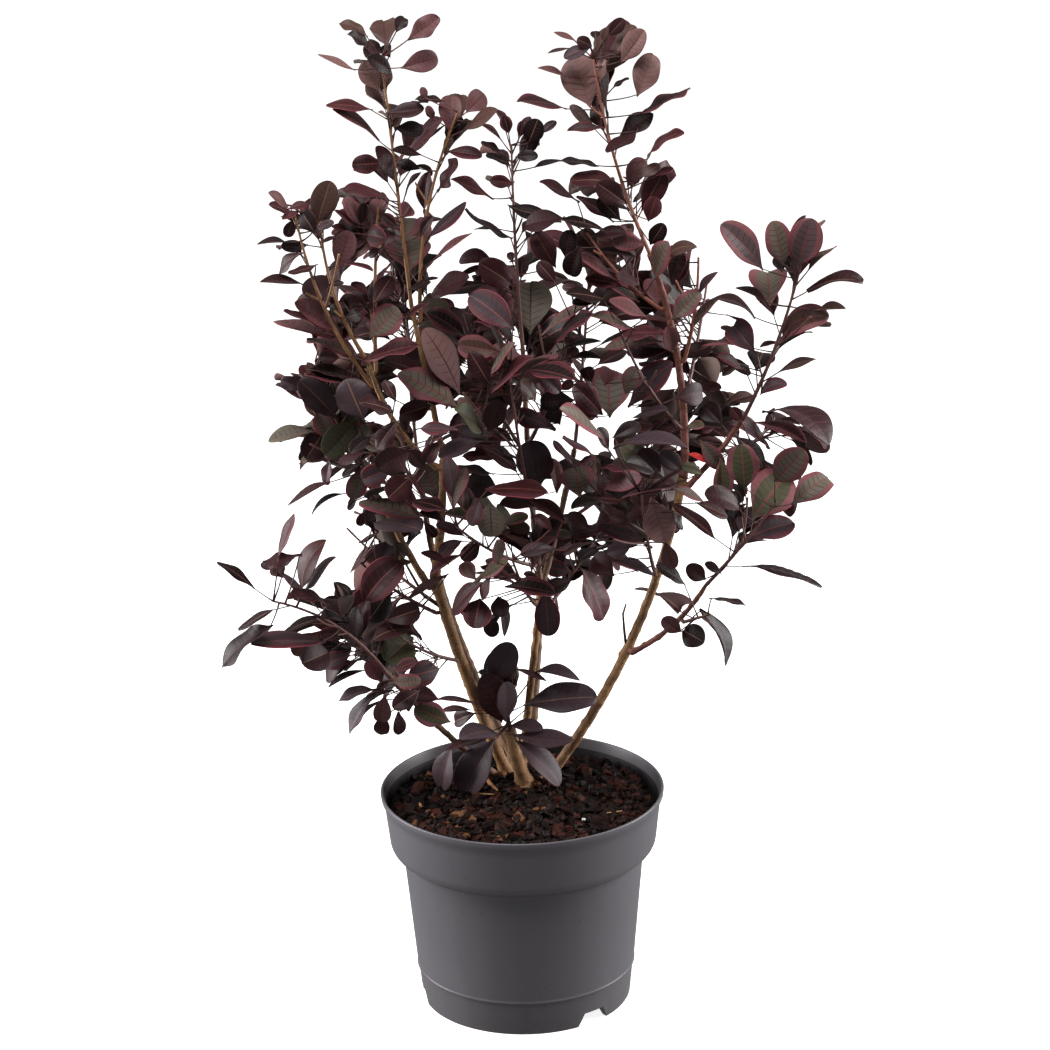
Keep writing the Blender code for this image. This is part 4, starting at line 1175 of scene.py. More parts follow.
SEEN_LEAVES = {
    # Leaves that show lightest, mostly at the top of the crown: their pale tint is partly painted highlight.
    "light": (
        (460, 394, 424, 329, 31), (651, 497, 665, 541, 31), (590, 107, 574, 57, 39),
        (637, 97, 653, 54, 27), (600, 84, 604, 58, 11), (620, 63, 644, 30, 23, 0),
    ),
    "pale": (
        (407, 40, 439, 17, 21, 0), (401, 68, 438, 57, 23, 1), (386, 45, 383, 20, 29),
        (368, 36, 339, 23, 10, 2), (356, 69, 318, 53, 6, -1.5), (379, 91, 364, 61, 24, 0),
        (449, 131, 451, 95, 24), (466, 113, 484, 93, 22), (463, 131, 498, 110, 11),
        (426, 100, 422, 87, 8), (434, 120, 427, 106, 9), (566, 76, 538, 67, 7), (627, 187, 643, 158, 20),
        (576, 41, 554, 32, 6), (317, 224, 330, 181, 27, 1), (289, 208, 269, 193, 11),
        (360, 226, 345, 197, 17), (375, 220, 380, 199, 18), (337, 269, 350, 231, 24, 0),
        (682, 632, 662, 619, 16), (385, 695, 381, 722, 18), (471, 710, 440, 711, 6, 2),
        (665, 541, 673, 569, 16), (381, 91, 386, 70, 17),
    ),
    "grey": (
        (783, 266, 773, 221, 26), (774, 482, 804, 450, 32, 1), (791, 505, 828, 478, 25, 5),
        (452, 512, 465, 467, 18), (438, 500, 424, 464, 32), (530, 333, 531, 281, 42),
        (459, 407, 398, 373, 26),
    ),
    "blush": (
        (770, 302, 767, 269, 41), (793, 278, 821, 245, 9), (806, 271, 836, 245, 7),
        (655, 279, 668, 242, 15, 2), (672, 285, 682, 252, 17), (672, 320, 700, 292, 22),
        (698, 294, 717, 271, 8), (688, 332, 718, 298, 9), (657, 305, 657, 279, 28),
        (648, 318, 609, 300, 13, 2), (636, 329, 590, 315, 11, 1), (614, 279, 571, 254, 16, 3),
        (640, 302, 604, 281, 10), (672, 352, 668, 327, 16), (645, 243, 612, 241, 19),
        (488, 380, 514, 342, 9), (490, 393, 530, 357, 12), (513, 322, 484, 273, 24),
        (540, 335, 594, 300, 9), (625, 395, 637, 367, 20), (605, 385, 610, 368, 20),
        (334, 340, 274, 320, 12), (404, 238, 407, 217, 28), (409, 272, 408, 236, 44),
        (428, 238, 466, 202, 13, -1), (430, 261, 471, 232, 9, 0), (672, 488, 704, 501, 10),
        (391, 682, 421, 681, 16), (560, 390, 573, 381, 10), (603, 490, 641, 476, 20),
        (610, 418, 608, 368, 42), (594, 392, 570, 356, 9), (606, 443, 561, 407, 10),
        (573, 466, 553, 441, 8), (343, 334, 295, 302, 19), (366, 360, 307, 338, 11),
        (369, 338, 398, 308, 30), (392, 672, 416, 661, 11), (364, 466, 352, 499, 20),
        (558, 494, 552, 458, 13),
    ),
    "dusk": (
        (764, 270, 722, 224, 26, 2.5), (797, 267, 812, 219, 34),
    ),
    "red": (
        (380, 140, 334, 107, 10, 2.5), (385, 112, 424, 107, 15, -1.5), (406, 152, 442, 119, 13, 0),
        (395, 180, 376, 147, 17), (384, 163, 352, 165, 20, 0), (373, 110, 326, 105, 9, 2),
        (447, 151, 482, 156, 14, 1), (436, 192, 455, 158, 9, -2), (424, 212, 428, 172, 17),
        (642, 112, 690, 87, 10, -0.5), (638, 129, 606, 151, 13, -1.5), (641, 212, 664, 172, 24, -1),
        (621, 184, 570, 181, 18, 3), (655, 176, 673, 168, 7), (646, 161, 684, 132, 5, 6),
        (604, 126, 567, 129, 11, -0.5), (614, 222, 577, 195, 12, 1), (556, 268, 535, 232, 24),
        (597, 252, 579, 231, 22), (513, 285, 479, 263, 27), (429, 299, 469, 277, 18, 3),
        (665, 333, 620, 335, 12), (752, 421, 806, 441, 11, 3.5), (278, 558, 294, 513, 8, 0.5),
        (389, 202, 343, 191, 11, 5.5), (356, 228, 335, 210, 9, 1), (366, 234, 385, 238, 22),
        (343, 262, 373, 270, 6, 1), (370, 308, 394, 260, 11, 5), (402, 218, 410, 205, 17),
        (405, 318, 429, 303, 7), (300, 211, 282, 219, 8), (288, 209, 308, 204, 8),
        (293, 214, 269, 204, 9), (482, 582, 452, 612, 20), (627, 204, 597, 183, 24),
        (362, 360, 420, 344, 18), (485, 490, 548, 492, 20), (715, 428, 702, 432, 8),
        (676, 398, 703, 392, 24), (553, 530, 535, 515, 12), (614, 576, 593, 556, 24),
        (580, 566, 604, 620, 23), (463, 553, 429, 574, 8), (448, 572, 407, 598, 10, -1),
        (405, 594, 378, 613, 5, -1), (491, 575, 482, 600, 9), (598, 418, 570, 408, 14),
        (609, 450, 598, 428, 11), (665, 478, 640, 472, 10), (352, 385, 305, 374, 10),
        (394, 412, 360, 402, 16), (590, 530, 568, 514, 14), (590, 498, 630, 502, 10),
        (648, 222, 656, 197, 18), (700, 387, 721, 388, 12), (742, 421, 731, 408, 12),
        (283, 578, 275, 566, 16),
    ),
    "scarlet": (
        (708, 463, 689, 454, 7),
    ),
    "bronze": (
        (608, 36, 624, 19, 14), (617, 54, 634, 25, 17), (603, 42, 607, 28, 8), (640, 178, 660, 165, 12),
        (663, 262, 697, 247, 9, 6), (565, 218, 525, 225, 20), (777, 373, 816, 359, 10, 2.5),
        (817, 309, 846, 307, 9), (782, 339, 829, 316, 21, 8), (728, 403, 754, 396, 14, 1.5),
        (642, 508, 631, 496, 9), (476, 580, 462, 563, 16), (505, 524, 530, 530, 14),
        (500, 352, 458, 345, 26), (536, 400, 520, 380, 16), (749, 347, 700, 349, 9, 5),
    ),
    "slate": (
        (754, 351, 733, 325, 27, 2.5), (743, 370, 718, 356, 10, 2), (760, 395, 787, 384, 11, 4.5),
        (731, 424, 767, 447, 16, 5), (744, 538, 794, 522, 25, 1), (326, 641, 251, 643, 17, 2),
        (351, 655, 324, 664, 18), (302, 555, 261, 567, 12), (385, 540, 383, 564, 21),
        (373, 523, 421, 530, 17), (477, 444, 517, 468, 17), (540, 488, 530, 441, 36),
        (515, 330, 470, 295, 30), (640, 286, 616, 275, 12), (627, 407, 672, 362, 24),
        (602, 415, 573, 385, 24), (533, 368, 560, 392, 18), (556, 430, 514, 414, 16),
        (399, 420, 377, 450, 18), (458, 430, 421, 429, 10), (462, 540, 438, 556, 14),
        (527, 498, 565, 520, 16), (556, 548, 520, 553, 15), (572, 572, 544, 566, 17),
        (545, 590, 549, 636, 24), (316, 230, 334, 222, 9), (592, 46, 564, 58, 13, 1),
        (682, 470, 661, 452, 18), (620, 497, 672, 486, 9), (632, 545, 607, 553, 16),
        (363, 605, 400, 562, 31, 4.5), (482, 441, 438, 456, 18), (613, 447, 687, 447, 14, 7),
        (337, 418, 300, 380, 30), (364, 421, 346, 379, 34), (647, 545, 598, 526, 15),
        (612, 558, 655, 575, 11), (330, 604, 289, 597, 11, 3), (369, 644, 409, 629, 17, 5),
        (440, 669, 409, 676, 26), (374, 688, 338, 700, 12), (375, 691, 348, 734, 14),
        (540, 505, 500, 504, 14), (465, 536, 436, 524, 12), (632, 418, 668, 409, 9),
        (600, 468, 626, 470, 6), (604, 530, 572, 535, 14), (602, 500, 598, 476, 9),
        (361, 645, 343, 624, 17), (305, 388, 281, 380, 16), (595, 458, 562, 438, 5),
        (575, 465, 596, 457, 5), (478, 704, 438, 699, 5, 2), (392, 468, 362, 480, 23),
        (330, 459, 326, 485, 11), (500, 492, 466, 480, 26), (480, 500, 471, 526, 15),
        (452, 500, 446, 456, 16), (494, 474, 452, 470, 10, 2),
    ),
    "stub": (
        (491, 684, 512, 643, 28), (523, 704, 597, 696, 31, 1.5), (535, 672, 580, 680, 12, 5.5),
        (516, 740, 560, 785, 24, 3.5), (452, 745, 441, 790, 19), (502, 723, 485, 674, 28),
        (506, 722, 505, 682, 19), (513, 735, 573, 740, 20, -0.5), (500, 734, 460, 738, 18, 3.5),
        (495, 738, 462, 794, 31), (509, 726, 543, 728, 13, 2),
    ),
    "olive": (
        (421, 518, 359, 502, 24, 2), (314, 430, 268, 440, 15), (356, 420, 325, 455, 28),
        (331, 440, 318, 413, 20), (650, 462, 622, 445, 24), (662, 340, 604, 348, 14),
        (580, 497, 575, 467, 34), (745, 490, 741, 444, 31), (484, 432, 457, 410, 20),
        (480, 580, 508, 560, 12), (498, 565, 497, 540, 12), (703, 474, 682, 466, 10),
        (700, 440, 722, 468, 18), (503, 525, 528, 515, 12), (414, 636, 386, 660, 33),
        (451, 722, 414, 708, 25), (490, 501, 492, 537, 26), (686, 428, 704, 424, 10),
        (752, 519, 786, 474, 46), (721, 458, 722, 499, 20),
    ),
    # Leaves that show darkest take the dark spray, partly painted shade.
    "dark": (
        (396, 32, 404, 17, 14), (371, 47, 349, 34, 10, 1), (393, 74, 368, 57, 16), (390, 57, 383, 45, 14),
        (394, 128, 423, 130, 17, -1), (420, 169, 397, 163, 12), (445, 101, 415, 99, 8),
        (471, 121, 459, 123, 6), (423, 155, 392, 150, 9), (405, 196, 421, 172, 3, 3),
        (509, 134, 504, 116, 13), (520, 138, 522, 121, 9), (528, 145, 538, 119, 21),
        (541, 134, 556, 121, 9), (515, 157, 538, 156, 12), (502, 152, 481, 142, 7),
        (511, 165, 486, 154, 10), (514, 184, 490, 180, 13), (503, 140, 482, 124, 6),
        (494, 199, 451, 178, 9, 1.5), (534, 167, 562, 160, 7, 1), (507, 204, 545, 213, 14, -3),
        (513, 238, 465, 209, 8, -3), (620, 57, 602, 53, 9), (596, 40, 595, 31, 10),
        (592, 46, 577, 39, 12, 1), (570, 48, 548, 53, 4), (607, 118, 607, 73, 6), (611, 89, 629, 78, 5),
        (567, 109, 517, 101, 8, 2.5), (617, 139, 653, 113, 18, 1), (599, 166, 555, 161, 9, 2),
        (580, 202, 540, 181, 9, 1.5), (650, 245, 664, 224, 17), (676, 290, 689, 260, 10),
        (606, 231, 562, 220, 8, 2.5), (565, 258, 570, 230, 18), (556, 283, 538, 262, 16),
        (636, 256, 598, 250, 9), (493, 263, 459, 262, 12, 6), (521, 279, 523, 257, 14),
        (488, 283, 445, 294, 13, 2), (553, 343, 592, 313, 12), (563, 336, 583, 338, 8),
        (556, 351, 601, 340, 5), (562, 358, 602, 357, 5), (592, 382, 585, 367, 14),
        (525, 368, 574, 378, 20), (782, 272, 779, 256, 15), (807, 290, 863, 280, 12, 6),
        (768, 301, 736, 286, 8, 1), (781, 342, 760, 346, 5), (756, 370, 763, 352, 28),
        (778, 418, 800, 424, 6), (735, 436, 764, 467, 15, 2.5), (740, 510, 705, 493, 19, 3),
        (695, 502, 728, 517, 13, 1), (742, 566, 822, 587, 7, 5), (709, 598, 746, 605, 4),
        (706, 580, 687, 566, 17), (722, 574, 705, 563, 8), (681, 609, 650, 592, 15),
        (682, 630, 704, 642, 24), (702, 608, 729, 665, 13, 5), (302, 590, 326, 540, 21, 6),
        (305, 590, 335, 557, 13, 1), (328, 617, 286, 631, 8, 2.5), (340, 634, 320, 634, 14),
        (364, 670, 328, 687, 7, 3), (357, 640, 358, 607, 14), (375, 546, 350, 573, 8, 2),
        (394, 543, 408, 554, 9), (420, 690, 393, 708, 18), (440, 700, 412, 690, 16),
        (379, 532, 358, 543, 5, -0.5), (330, 481, 287, 505, 6), (343, 493, 311, 514, 4, 4),
        (357, 499, 348, 510, 6), (364, 511, 359, 526, 9), (322, 215, 339, 196, 12),
        (293, 219, 287, 237, 12), (315, 233, 302, 212, 18), (286, 241, 257, 243, 7),
        (308, 244, 281, 245, 12, -2), (303, 253, 279, 274, 9, 3), (303, 283, 260, 281, 10, 2),
        (318, 264, 288, 273, 8, -1), (326, 306, 312, 277, 30), (328, 285, 344, 283, 5),
        (353, 233, 332, 226, 7), (340, 237, 321, 243, 4, 1.5), (374, 303, 392, 276, 19, -2),
        (369, 296, 351, 283, 9, 2), (397, 227, 382, 215, 13), (380, 248, 369, 257, 8),
        (344, 318, 331, 305, 13), (345, 318, 360, 314, 14), (340, 358, 319, 356, 14),
        (411, 311, 388, 305, 11), (408, 290, 431, 282, 7), (420, 236, 432, 217, 13),
        (325, 332, 284, 310, 5), (432, 405, 400, 415, 22), (445, 520, 420, 512, 10),
        (480, 598, 474, 628, 28), (488, 616, 494, 637, 15), (500, 602, 506, 636, 10),
        (513, 668, 547, 681, 6), (475, 713, 454, 722, 16), (498, 735, 445, 750, 8),
        (361, 464, 342, 476, 9), (488, 432, 500, 400, 22), (505, 585, 555, 592, 18),
        (540, 582, 524, 573, 9), (722, 424, 703, 405, 22), (505, 575, 480, 566, 10),
        (481, 542, 462, 560, 16), (630, 522, 609, 515, 14), (686, 585, 656, 565, 13),
        (716, 538, 674, 504, 14, 1), (331, 651, 303, 663, 30), (384, 621, 420, 609, 22, 2.5),
        (381, 682, 367, 661, 17), (383, 714, 381, 735, 15), (398, 711, 399, 735, 12),
        (755, 318, 706, 301, 6, 9), (450, 564, 421, 552, 8, 1), (448, 511, 413, 501, 15),
        (424, 522, 436, 537, 11), (490, 385, 470, 352, 20), (520, 412, 508, 385, 18),
        (513, 440, 492, 430, 12), (404, 446, 424, 466, 16), (440, 440, 425, 462, 16),
        (424, 372, 384, 360, 16), (575, 400, 540, 402, 22), (560, 425, 545, 400, 20),
        (612, 438, 640, 424, 16), (655, 425, 630, 428, 14), (674, 356, 712, 349, 16),
        (690, 375, 678, 358, 12), (636, 407, 660, 403, 6), (680, 430, 640, 426, 12),
        (362, 380, 308, 368, 11), (326, 428, 306, 459, 25), (372, 436, 350, 452, 14),
        (368, 452, 338, 464, 8, 1), (396, 402, 384, 380, 12), (598, 548, 581, 558, 12),
        (590, 568, 562, 578, 14), (572, 580, 545, 592, 16), (672, 510, 682, 530, 8),
        (342, 666, 326, 680, 12), (468, 338, 428, 312, 22), (497, 228, 474, 229, 5),
        (424, 281, 438, 277, 3, 0), (512, 262, 510, 252, 8), (621, 221, 598, 198, 18),
        (361, 224, 364, 203, 12), (384, 246, 391, 231, 14), (504, 686, 517, 681, 7),
        (498, 596, 502, 617, 18), (769, 412, 829, 444, 20, 12), (379, 533, 366, 520, 7),
        (412, 450, 378, 468, 28), (414, 474, 388, 498, 26), (468, 514, 466, 488, 10),
        (661, 472, 640, 450, 22), (655, 472, 628, 462, 14), (606, 300, 566, 293, 12),
        (580, 290, 562, 287, 9), (622, 286, 585, 279, 13), (580, 246, 570, 276, 20),
        (255, 589, 217, 562, 11, 2), (272, 624, 221, 667, 14, 4), (273, 609, 238, 630, 10, 0.5),
        (341, 617, 338, 597, 34), (361, 636, 369, 601, 11), (508, 452, 462, 456, 12, -1),
        (545, 480, 548, 456, 14), (590, 236, 626, 232, 12), (600, 300, 572, 303, 10),
    ),
}
SEEN_ROWS = np.array([row[:5] for rows in SEEN_LEAVES.values() for row in rows], float)
SEEN_DEPTHS = (0, -7, 7, -14, 14, -21, 21, -28, 28, -36, 36, -45, 45, -56, 60)
SEEN_PETIOLE = 17
HIDDEN_LIMBS = ("left_crook", "left_leader", "left_bough", "middle_stem", "middle_leader")
HIDDEN_BELOW = 225
SEEN_BOW = 0.035
SHOOT_FIRST_LEAF = 0.14
TWIG_FIRST_LEAF = 0.35
SPUR_FIRST_LEAF = 0.3
LEAF_CROWDING = 0.85
MORE_LEAVES = 3.4
TWIG_LEAVES = 9
SPUR_LEAVES = 2
BLADE_SIZE = 1.0
TURN_STEP = 137.5
TURN_SPREAD = 14
TRY_TURNS = (0, 28, -28, 55, -55, 85, -85, 115, -115, 145, -145, 180)
LOW_LEAN = 74
TOP_LEAN = 36
LEAN_SPREAD = 12
LOW_DROOP = 0.75
DROOP_LOSS = 0.6
ROLL_SPREAD = 34
SIZE_SPREAD = (0.74, 1.18)
SECOND_SIZE = 0.72
TIP_LEAF_LOSS = 0.08
PETIOLE_LENGTH = 24 * MM
PETIOLE_LOSS = 0.4
PETIOLE_RADII = (0.78 * MM, 0.55 * MM)
SPACE_SLACK = 2.2
SPACE_POINTS = 8
VEINS = 7
FIRST_VEIN = 0.11
VEIN_STEP = 0.115
VEIN_WIDTH = 0.013
FINE_UPPER = (-1, -0.95, -0.62, -0.34, -0.045, 0.045, 0.34, 0.62, 0.95, 1)
FINE_UNDER = (-1, -0.5, -0.045, 0.045, 0.5, 1)
PLAIN_ROWS = (0, 0.05, 0.13, 0.25, 0.37, 0.50, 0.62, 0.74, 0.85, 0.93, 0.98, 1)
PLAIN_UPPER = (-1, -0.935, -0.5, -0.045, 0.045, 0.5, 0.935, 1)
PLAIN_UNDER = (-1, -0.045, 0.045, 1)
WIDEST = 0.56
HALF_WIDTH = 0.295
BLADE_THICKNESS = 0.34 * MM
VEIN_SLANT = 0.34
PLEAT_HEIGHT = 0.0095
BOX_SLACK = 4 * MM


def blade_width(share):
    """Half width of the blade at a share of its length, from 0 to 1."""
    rising = np.sin(np.clip(share / WIDEST, 0, 1) * math.pi / 2) ** 1.3
    past = np.clip((share - WIDEST) / (1 - WIDEST), 0, 1)
    return np.where(share < WIDEST, rising, np.sqrt(np.clip(1 - past ** 2.1, 0, 1)))


def vein_rows():
    """Shares along the midrib of a veined blade's rows, and whether a vein starts there."""
    rows, veins = [0, 0.04], [False, False]
    for number in range(VEINS):
        place = FIRST_VEIN + VEIN_STEP * number
        rows += [place - VEIN_WIDTH / 2, place + VEIN_WIDTH / 2, place + VEIN_STEP / 2]
        veins += [True, False, False]
    return rows + [0.93, 0.98, 1], veins + [False] * 3


def blade_pattern(rows, veins, places, pleated):
    """Shares along and across the flat blade, and the rise of its pleats."""
    rows, places = np.array(rows, float)[:, None], np.array(places, float)
    reach = np.abs(places)[None, :]
    veer = VEIN_SLANT * rows ** 0.6 * (1 - rows)
    along = rows + veer * reach
    across = np.sign(places)[None, :] * reach * np.maximum(blade_width(rows + veer), 0.025)
    swell = np.interp(reach[0], (0.04, 0.38, 0.74, 0.93, 1), (0, 0.8, 1, 0.6, 0))
    sunk = np.array([vein or veins[row - 1] for row, vein in enumerate(veins)])[:, None]
    pleat = np.where(sunk, 0, 1) * swell[None, :] * np.sin(np.clip(rows, 0, 1) * math.pi) ** 0.5
    return along, across, pleat * pleated, reach


def sheet_faces(rows, columns, first, turned_over):
    """Faces of a sheet of rows and columns of points."""
    faces = []
    for row in range(rows - 1):
        for column in range(columns - 1):
            a = first + row * columns + column
            face = (a, a + 1, a + 1 + columns, a + columns)
            faces.append(face[::-1] if turned_over else face)
    return faces


def across_kinds(places, face):
    """Kind of each face across a sheet: edge, blush, midrib or the face between them."""
    kinds = []
    for first, last in zip(places, places[1:]):
        middle = abs(first + last) / 2
        kind = "rib" if middle < 0.05 else face
        if face != "under" and middle > 0.72:
            kind = "edge" if middle > 0.94 else "blush"
        kinds.append(kind)
    return kinds


class BladeMesh:
    """Flat pattern of a blade: upper sheet, under sheet and edges, with each face's kind."""

    def __init__(self, rows, veins, upper, under):
        """Lay out both sheets on the same rows."""
        self.upper = blade_pattern(rows, veins, upper, 1)
        self.under = blade_pattern(rows, veins, under, 0)
        self.rib_swell = np.where(np.abs(under) < np.array(0.1), 0.35 * MM, 0)[None, :, None]
        count, columns, others = len(rows), len(upper), len(under)
        first = count * columns
        faces = sheet_faces(count, columns, 0, False) + sheet_faces(count, others, first, True)
        kinds = []
        for vein in veins[:-1]:
            kinds += across_kinds(upper, "vein" if vein else "upper")
        kinds += across_kinds(under, "under") * (count - 1)
        for row in range(count - 1):
            left, low = row * columns, first + row * others
            faces.append((left, left + columns, low + others, low))
            left, low = left + columns - 1, low + others - 1
            faces.append((left + columns, left, low, low + others))
            kinds += ["edge", "edge"]
        self.faces, self.kinds = np.array(faces), np.array(kinds)


VEINED_BLADE = BladeMesh(*vein_rows(), FINE_UPPER, FINE_UNDER)
PLAIN_BLADE = BladeMesh(PLAIN_ROWS, [False] * len(PLAIN_ROWS), PLAIN_UPPER, PLAIN_UNDER)
GUARD_PATTERN = blade_pattern((0.02, 0.25, 0.5, 0.75, 1), [False] * 5, (-1, 0, 1), 0)
GUARD_FACES = sheet_faces(5, 3, 0, False)


class Blade:
    """Bent blade of one leaf, with its own fold, curl, twist, arch and waves."""

    def __init__(self, leaf):
        """Deal out the bends by where the leaf grows."""
        dice = random.Random("blade %.5f %.5f %.5f" % tuple(leaf.root))
        self.leaf = leaf
        self.fold = math.radians(abs(dice.gauss(10, 15)))
        self.curl = math.radians(dice.gauss(30, 24)) or 0.01
        self.twist = math.radians(dice.gauss(0, 15))
        self.arch = dice.uniform(0.004, 0.022)
        self.waves = dice.uniform(0.8, 2.2)
        self.wave_rise = abs(dice.gauss(0, 0.020))
        self.wave_turn = dice.uniform(0, math.tau)
        self.broad = HALF_WIDTH * dice.uniform(0.84, 1.18)
        self.pleats = PLEAT_HEIGHT * dice.uniform(0.6, 1.2)
        self.point = dice.uniform(0, 0.4)
        if leaf.broad:
            self.lie_along(leaf)

    def lie_along(self, leaf):
        """Set the bends so that the blade keeps its width and ends in line with its stalk."""
        self.broad = leaf.broad
        self.curl = min(1.9, 8 * leaf.bow / max(0.4, math.sin(leaf.roll))) or 0.01
        self.twist *= 0.4
        self.fold *= 0.6
        self.point = max(0, math.sin(leaf.roll) ** 2 - 0.35) * 1.1
        half = self.curl / 2
        blade = leaf.blade * math.cos(half) + leaf.face * math.sin(half)
        face = leaf.face * math.cos(half) - leaf.blade * math.sin(half)
        length = leaf.length * half / math.sin(half)
        bulge = self.broad * math.sin(self.fold) / 2
        stalk = leaf.stalk * leaf.petiole - leaf.face * leaf.length * bulge
        self.leaf = leaf._replace(blade=blade, face=face, length=length,
                                  stalk=stalk.normalized(), petiole=stalk.length)

    def surface(self, pattern):
        """Points of a sheet of the blade, and the way its upper face looks at each."""
        along, across, pleat, reach = (part[:, :, None] for part in pattern)
        leaf = self.leaf
        blade, face = np.array(leaf.blade), np.array(leaf.face)
        side = np.cross(blade, face)
        bend = self.curl * along
        rib = np.sin(bend) / self.curl * blade - (1 - np.cos(bend)) / self.curl * face
        look = face * np.cos(bend) + blade * np.sin(bend)
        turn = self.twist * along
        out = side * np.cos(turn) + look * np.sin(turn)
        look = look * np.cos(turn) - side * np.sin(turn)
        sign = np.sign(across)
        past = np.clip((along - WIDEST) / (1 - WIDEST), 0, 1)
        half = np.abs(across) * self.broad * (1 - self.point * past ** 2)
        open_way = out * math.cos(self.fold) * sign + look * math.sin(self.fold)
        look = look * math.cos(self.fold) - out * math.sin(self.fold) * sign
        wave = self.wave_rise * reach ** 2 * np.sin(along * self.waves * math.tau
                                                    + self.wave_turn + sign)
        arch = self.arch * 4 * reach * (1 - reach) * np.sin(np.clip(along, 0, 1) * math.pi)
        rise = wave + arch + self.pleats * pleat
        neck = np.array(leaf.root + leaf.stalk * leaf.petiole)
        return neck + leaf.length * (rib + open_way * half + look * rise), look


def blade_guard(blade):
    """Coarse surface of a blade, which other pieces keep clear of."""
    return blade.surface(GUARD_PATTERN)[0].reshape(-1, 3), GUARD_FACES


def planned_leaf(dice, line, share, turn, blade_length, tint):
    """One leaf of the rule: it leans out less and is smaller towards the shoot's tip."""
    tangent = line.tangent(share)
    out = turned_out(tangent, turn)
    lean = LOW_LEAN + (TOP_LEAN - LOW_LEAN) * share + dice.uniform(-LEAN_SPREAD, LEAN_SPREAD)
    lean = math.radians(lean)
    stalk = (tangent * math.cos(lean) + out * math.sin(lean)).normalized()
    droop = dice.uniform(0, LOW_DROOP) * (1 - DROOP_LOSS * share)
    blade = (stalk - UP * droop).normalized()
    face = UP * 0.8 - stalk * 0.3 + out * 0.3
    face = (face - blade * face.dot(blade)).normalized()
    face = Matrix.Rotation(math.radians(dice.gauss(0, ROLL_SPREAD)), 3, blade) @ face
    size = (1 - TIP_LEAF_LOSS * max(0, 2 * share - 1)) * dice.uniform(*SIZE_SPREAD)
    petiole = PETIOLE_LENGTH * (1 - PETIOLE_LOSS * share) * dice.uniform(*SIZE_SPREAD)
    return Leaf(line.point(share), stalk, blade, face, petiole, blade_length * size, tint)


def keeps_space(name, leaf, points, space):
    """Whether a blade lies in its own mass's space, inside the plant's outline."""
    if (points.min(0) < np.array(cad_low) - BOX_SLACK).any():
        return False
    if (points.max(0) > np.array(cad_high) + BOX_SLACK).any():
        return False
    owners, places = space
    middle = np.array(leaf.root + leaf.stalk * leaf.petiole + leaf.blade * leaf.length / 2)
    away = np.linalg.norm(places - middle, axis=1)
    return away[owners == name].min() < SPACE_SLACK * away[owners != name].min()


def leaf_shares(count, first):
    """Places of the leaves along a shoot, closer towards the tip."""
    if count == 1:
        return [1.0]
    return [
        first + (1 - first) * (number / (count - 1)) ** LEAF_CROWDING
        for number in range(count)
    ]


def grow_leaves(name, label, line, count, first, blade_length, clearance, space, depths):
    """Leaves along one shoot, twig or spur that keep to their space and touch nothing."""
    leaves = []
    label_dice = random.Random(label)
    start_turn = label_dice.uniform(0, 360)
    tints = SPRAYS[MASSES[name].spray]
    for number, share in enumerate(leaf_shares(count, first)):
        dice = random.Random("%s leaf %d" % (label, number))
        turn = start_turn + number * TURN_STEP + dice.uniform(-TURN_SPREAD, TURN_SPREAD)
        tint = label_dice.choices(list(tints), list(tints.values()))[0]
        for attempt, extra in enumerate(TRY_TURNS * 2):
            size = blade_length if attempt < len(TRY_TURNS) else blade_length * SECOND_SIZE
            leaf = planned_leaf(dice, line, share, turn + extra, size, tint)
            blade = Blade(leaf)
            guard = blade_guard(blade)
            if fills_crown(guard[0], 0.5, depths) and keeps_space(name, leaf, guard[0], space) \
                    and not clearance.touches(guard):
                clearance.place(guard)
                leaves.append(blade)
                break
    return leaves


def seen_leaf(dice, row, places, tint, shift):
    """Leaf that shows between two points of the picture, so wide, and its shoot's number."""
    base, tip, width = Vector(row[:2]), Vector(row[2:4]), row[4]
    reach = in_picture(places) - np.array(base)
    cost = np.abs(np.hypot(*reach.T) - SEEN_PETIOLE) + np.clip(-reach[:, 1], 0, None) * 0.5
    nearest = int(np.argmin(cost + np.array(places)[:, 1] / MM * 0.12))
    root = places[nearest]
    neck = from_picture(*base, root.y + shift)
    length = (from_picture(*tip, root.y + shift) - neck).length
    width *= length / (tip - base).length
    if width > 1.3 * HALF_WIDTH * 2 * length:
        back = math.sqrt((width / HALF_WIDTH / 2.2) ** 2 - length ** 2)
        back *= 1 if tip.y < base.y else -1
    else:
        back = length * math.tan(math.radians(dice.gauss(0, 20)))
    blade = from_picture(*tip, root.y + shift + back) - neck
    length = blade.length
    blade.normalize()
    broad = max(width / length / 2, HALF_WIDTH * dice.uniform(0.82, 1.0))
    broad = min(broad, HALF_WIDTH * 1.3)
    roll = math.acos(min(1, width / length / 2 / broad))
    toward = (CAMERA_PLACE - neck).normalized()
    toward = (toward - blade * toward.dot(blade)).normalized()
    upper = blade.cross(toward) * (1 if blade.cross(toward).z > 0 else -1)
    face = toward * math.cos(roll) + upper * math.sin(roll)
    stalk = neck - root
    bow = row[5] / (tip - base).length if len(row) > 5 else SEEN_BOW
    return Leaf(root, stalk.normalized(), blade, face, stalk.length, length, tint,
                broad, roll, bow), nearest


def limb_behind(row, limb_places, limb_spots):
    """How near the camera a leaf must be to hide the limbs that the picture hides behind it."""
    base, chord = np.array(row[:2]), np.array(row[2:4]) - np.array(row[:2])
    if base[1] < HIDDEN_BELOW:
        return math.inf
    along = np.clip((limb_spots - base) @ chord / (chord @ chord), 0, 1)
    beside = np.hypot(*(limb_spots - base - along[:, None] * chord).T) < row[4] / 2
    return min(limb_places[beside, 1], default=math.inf) - 5 * MM


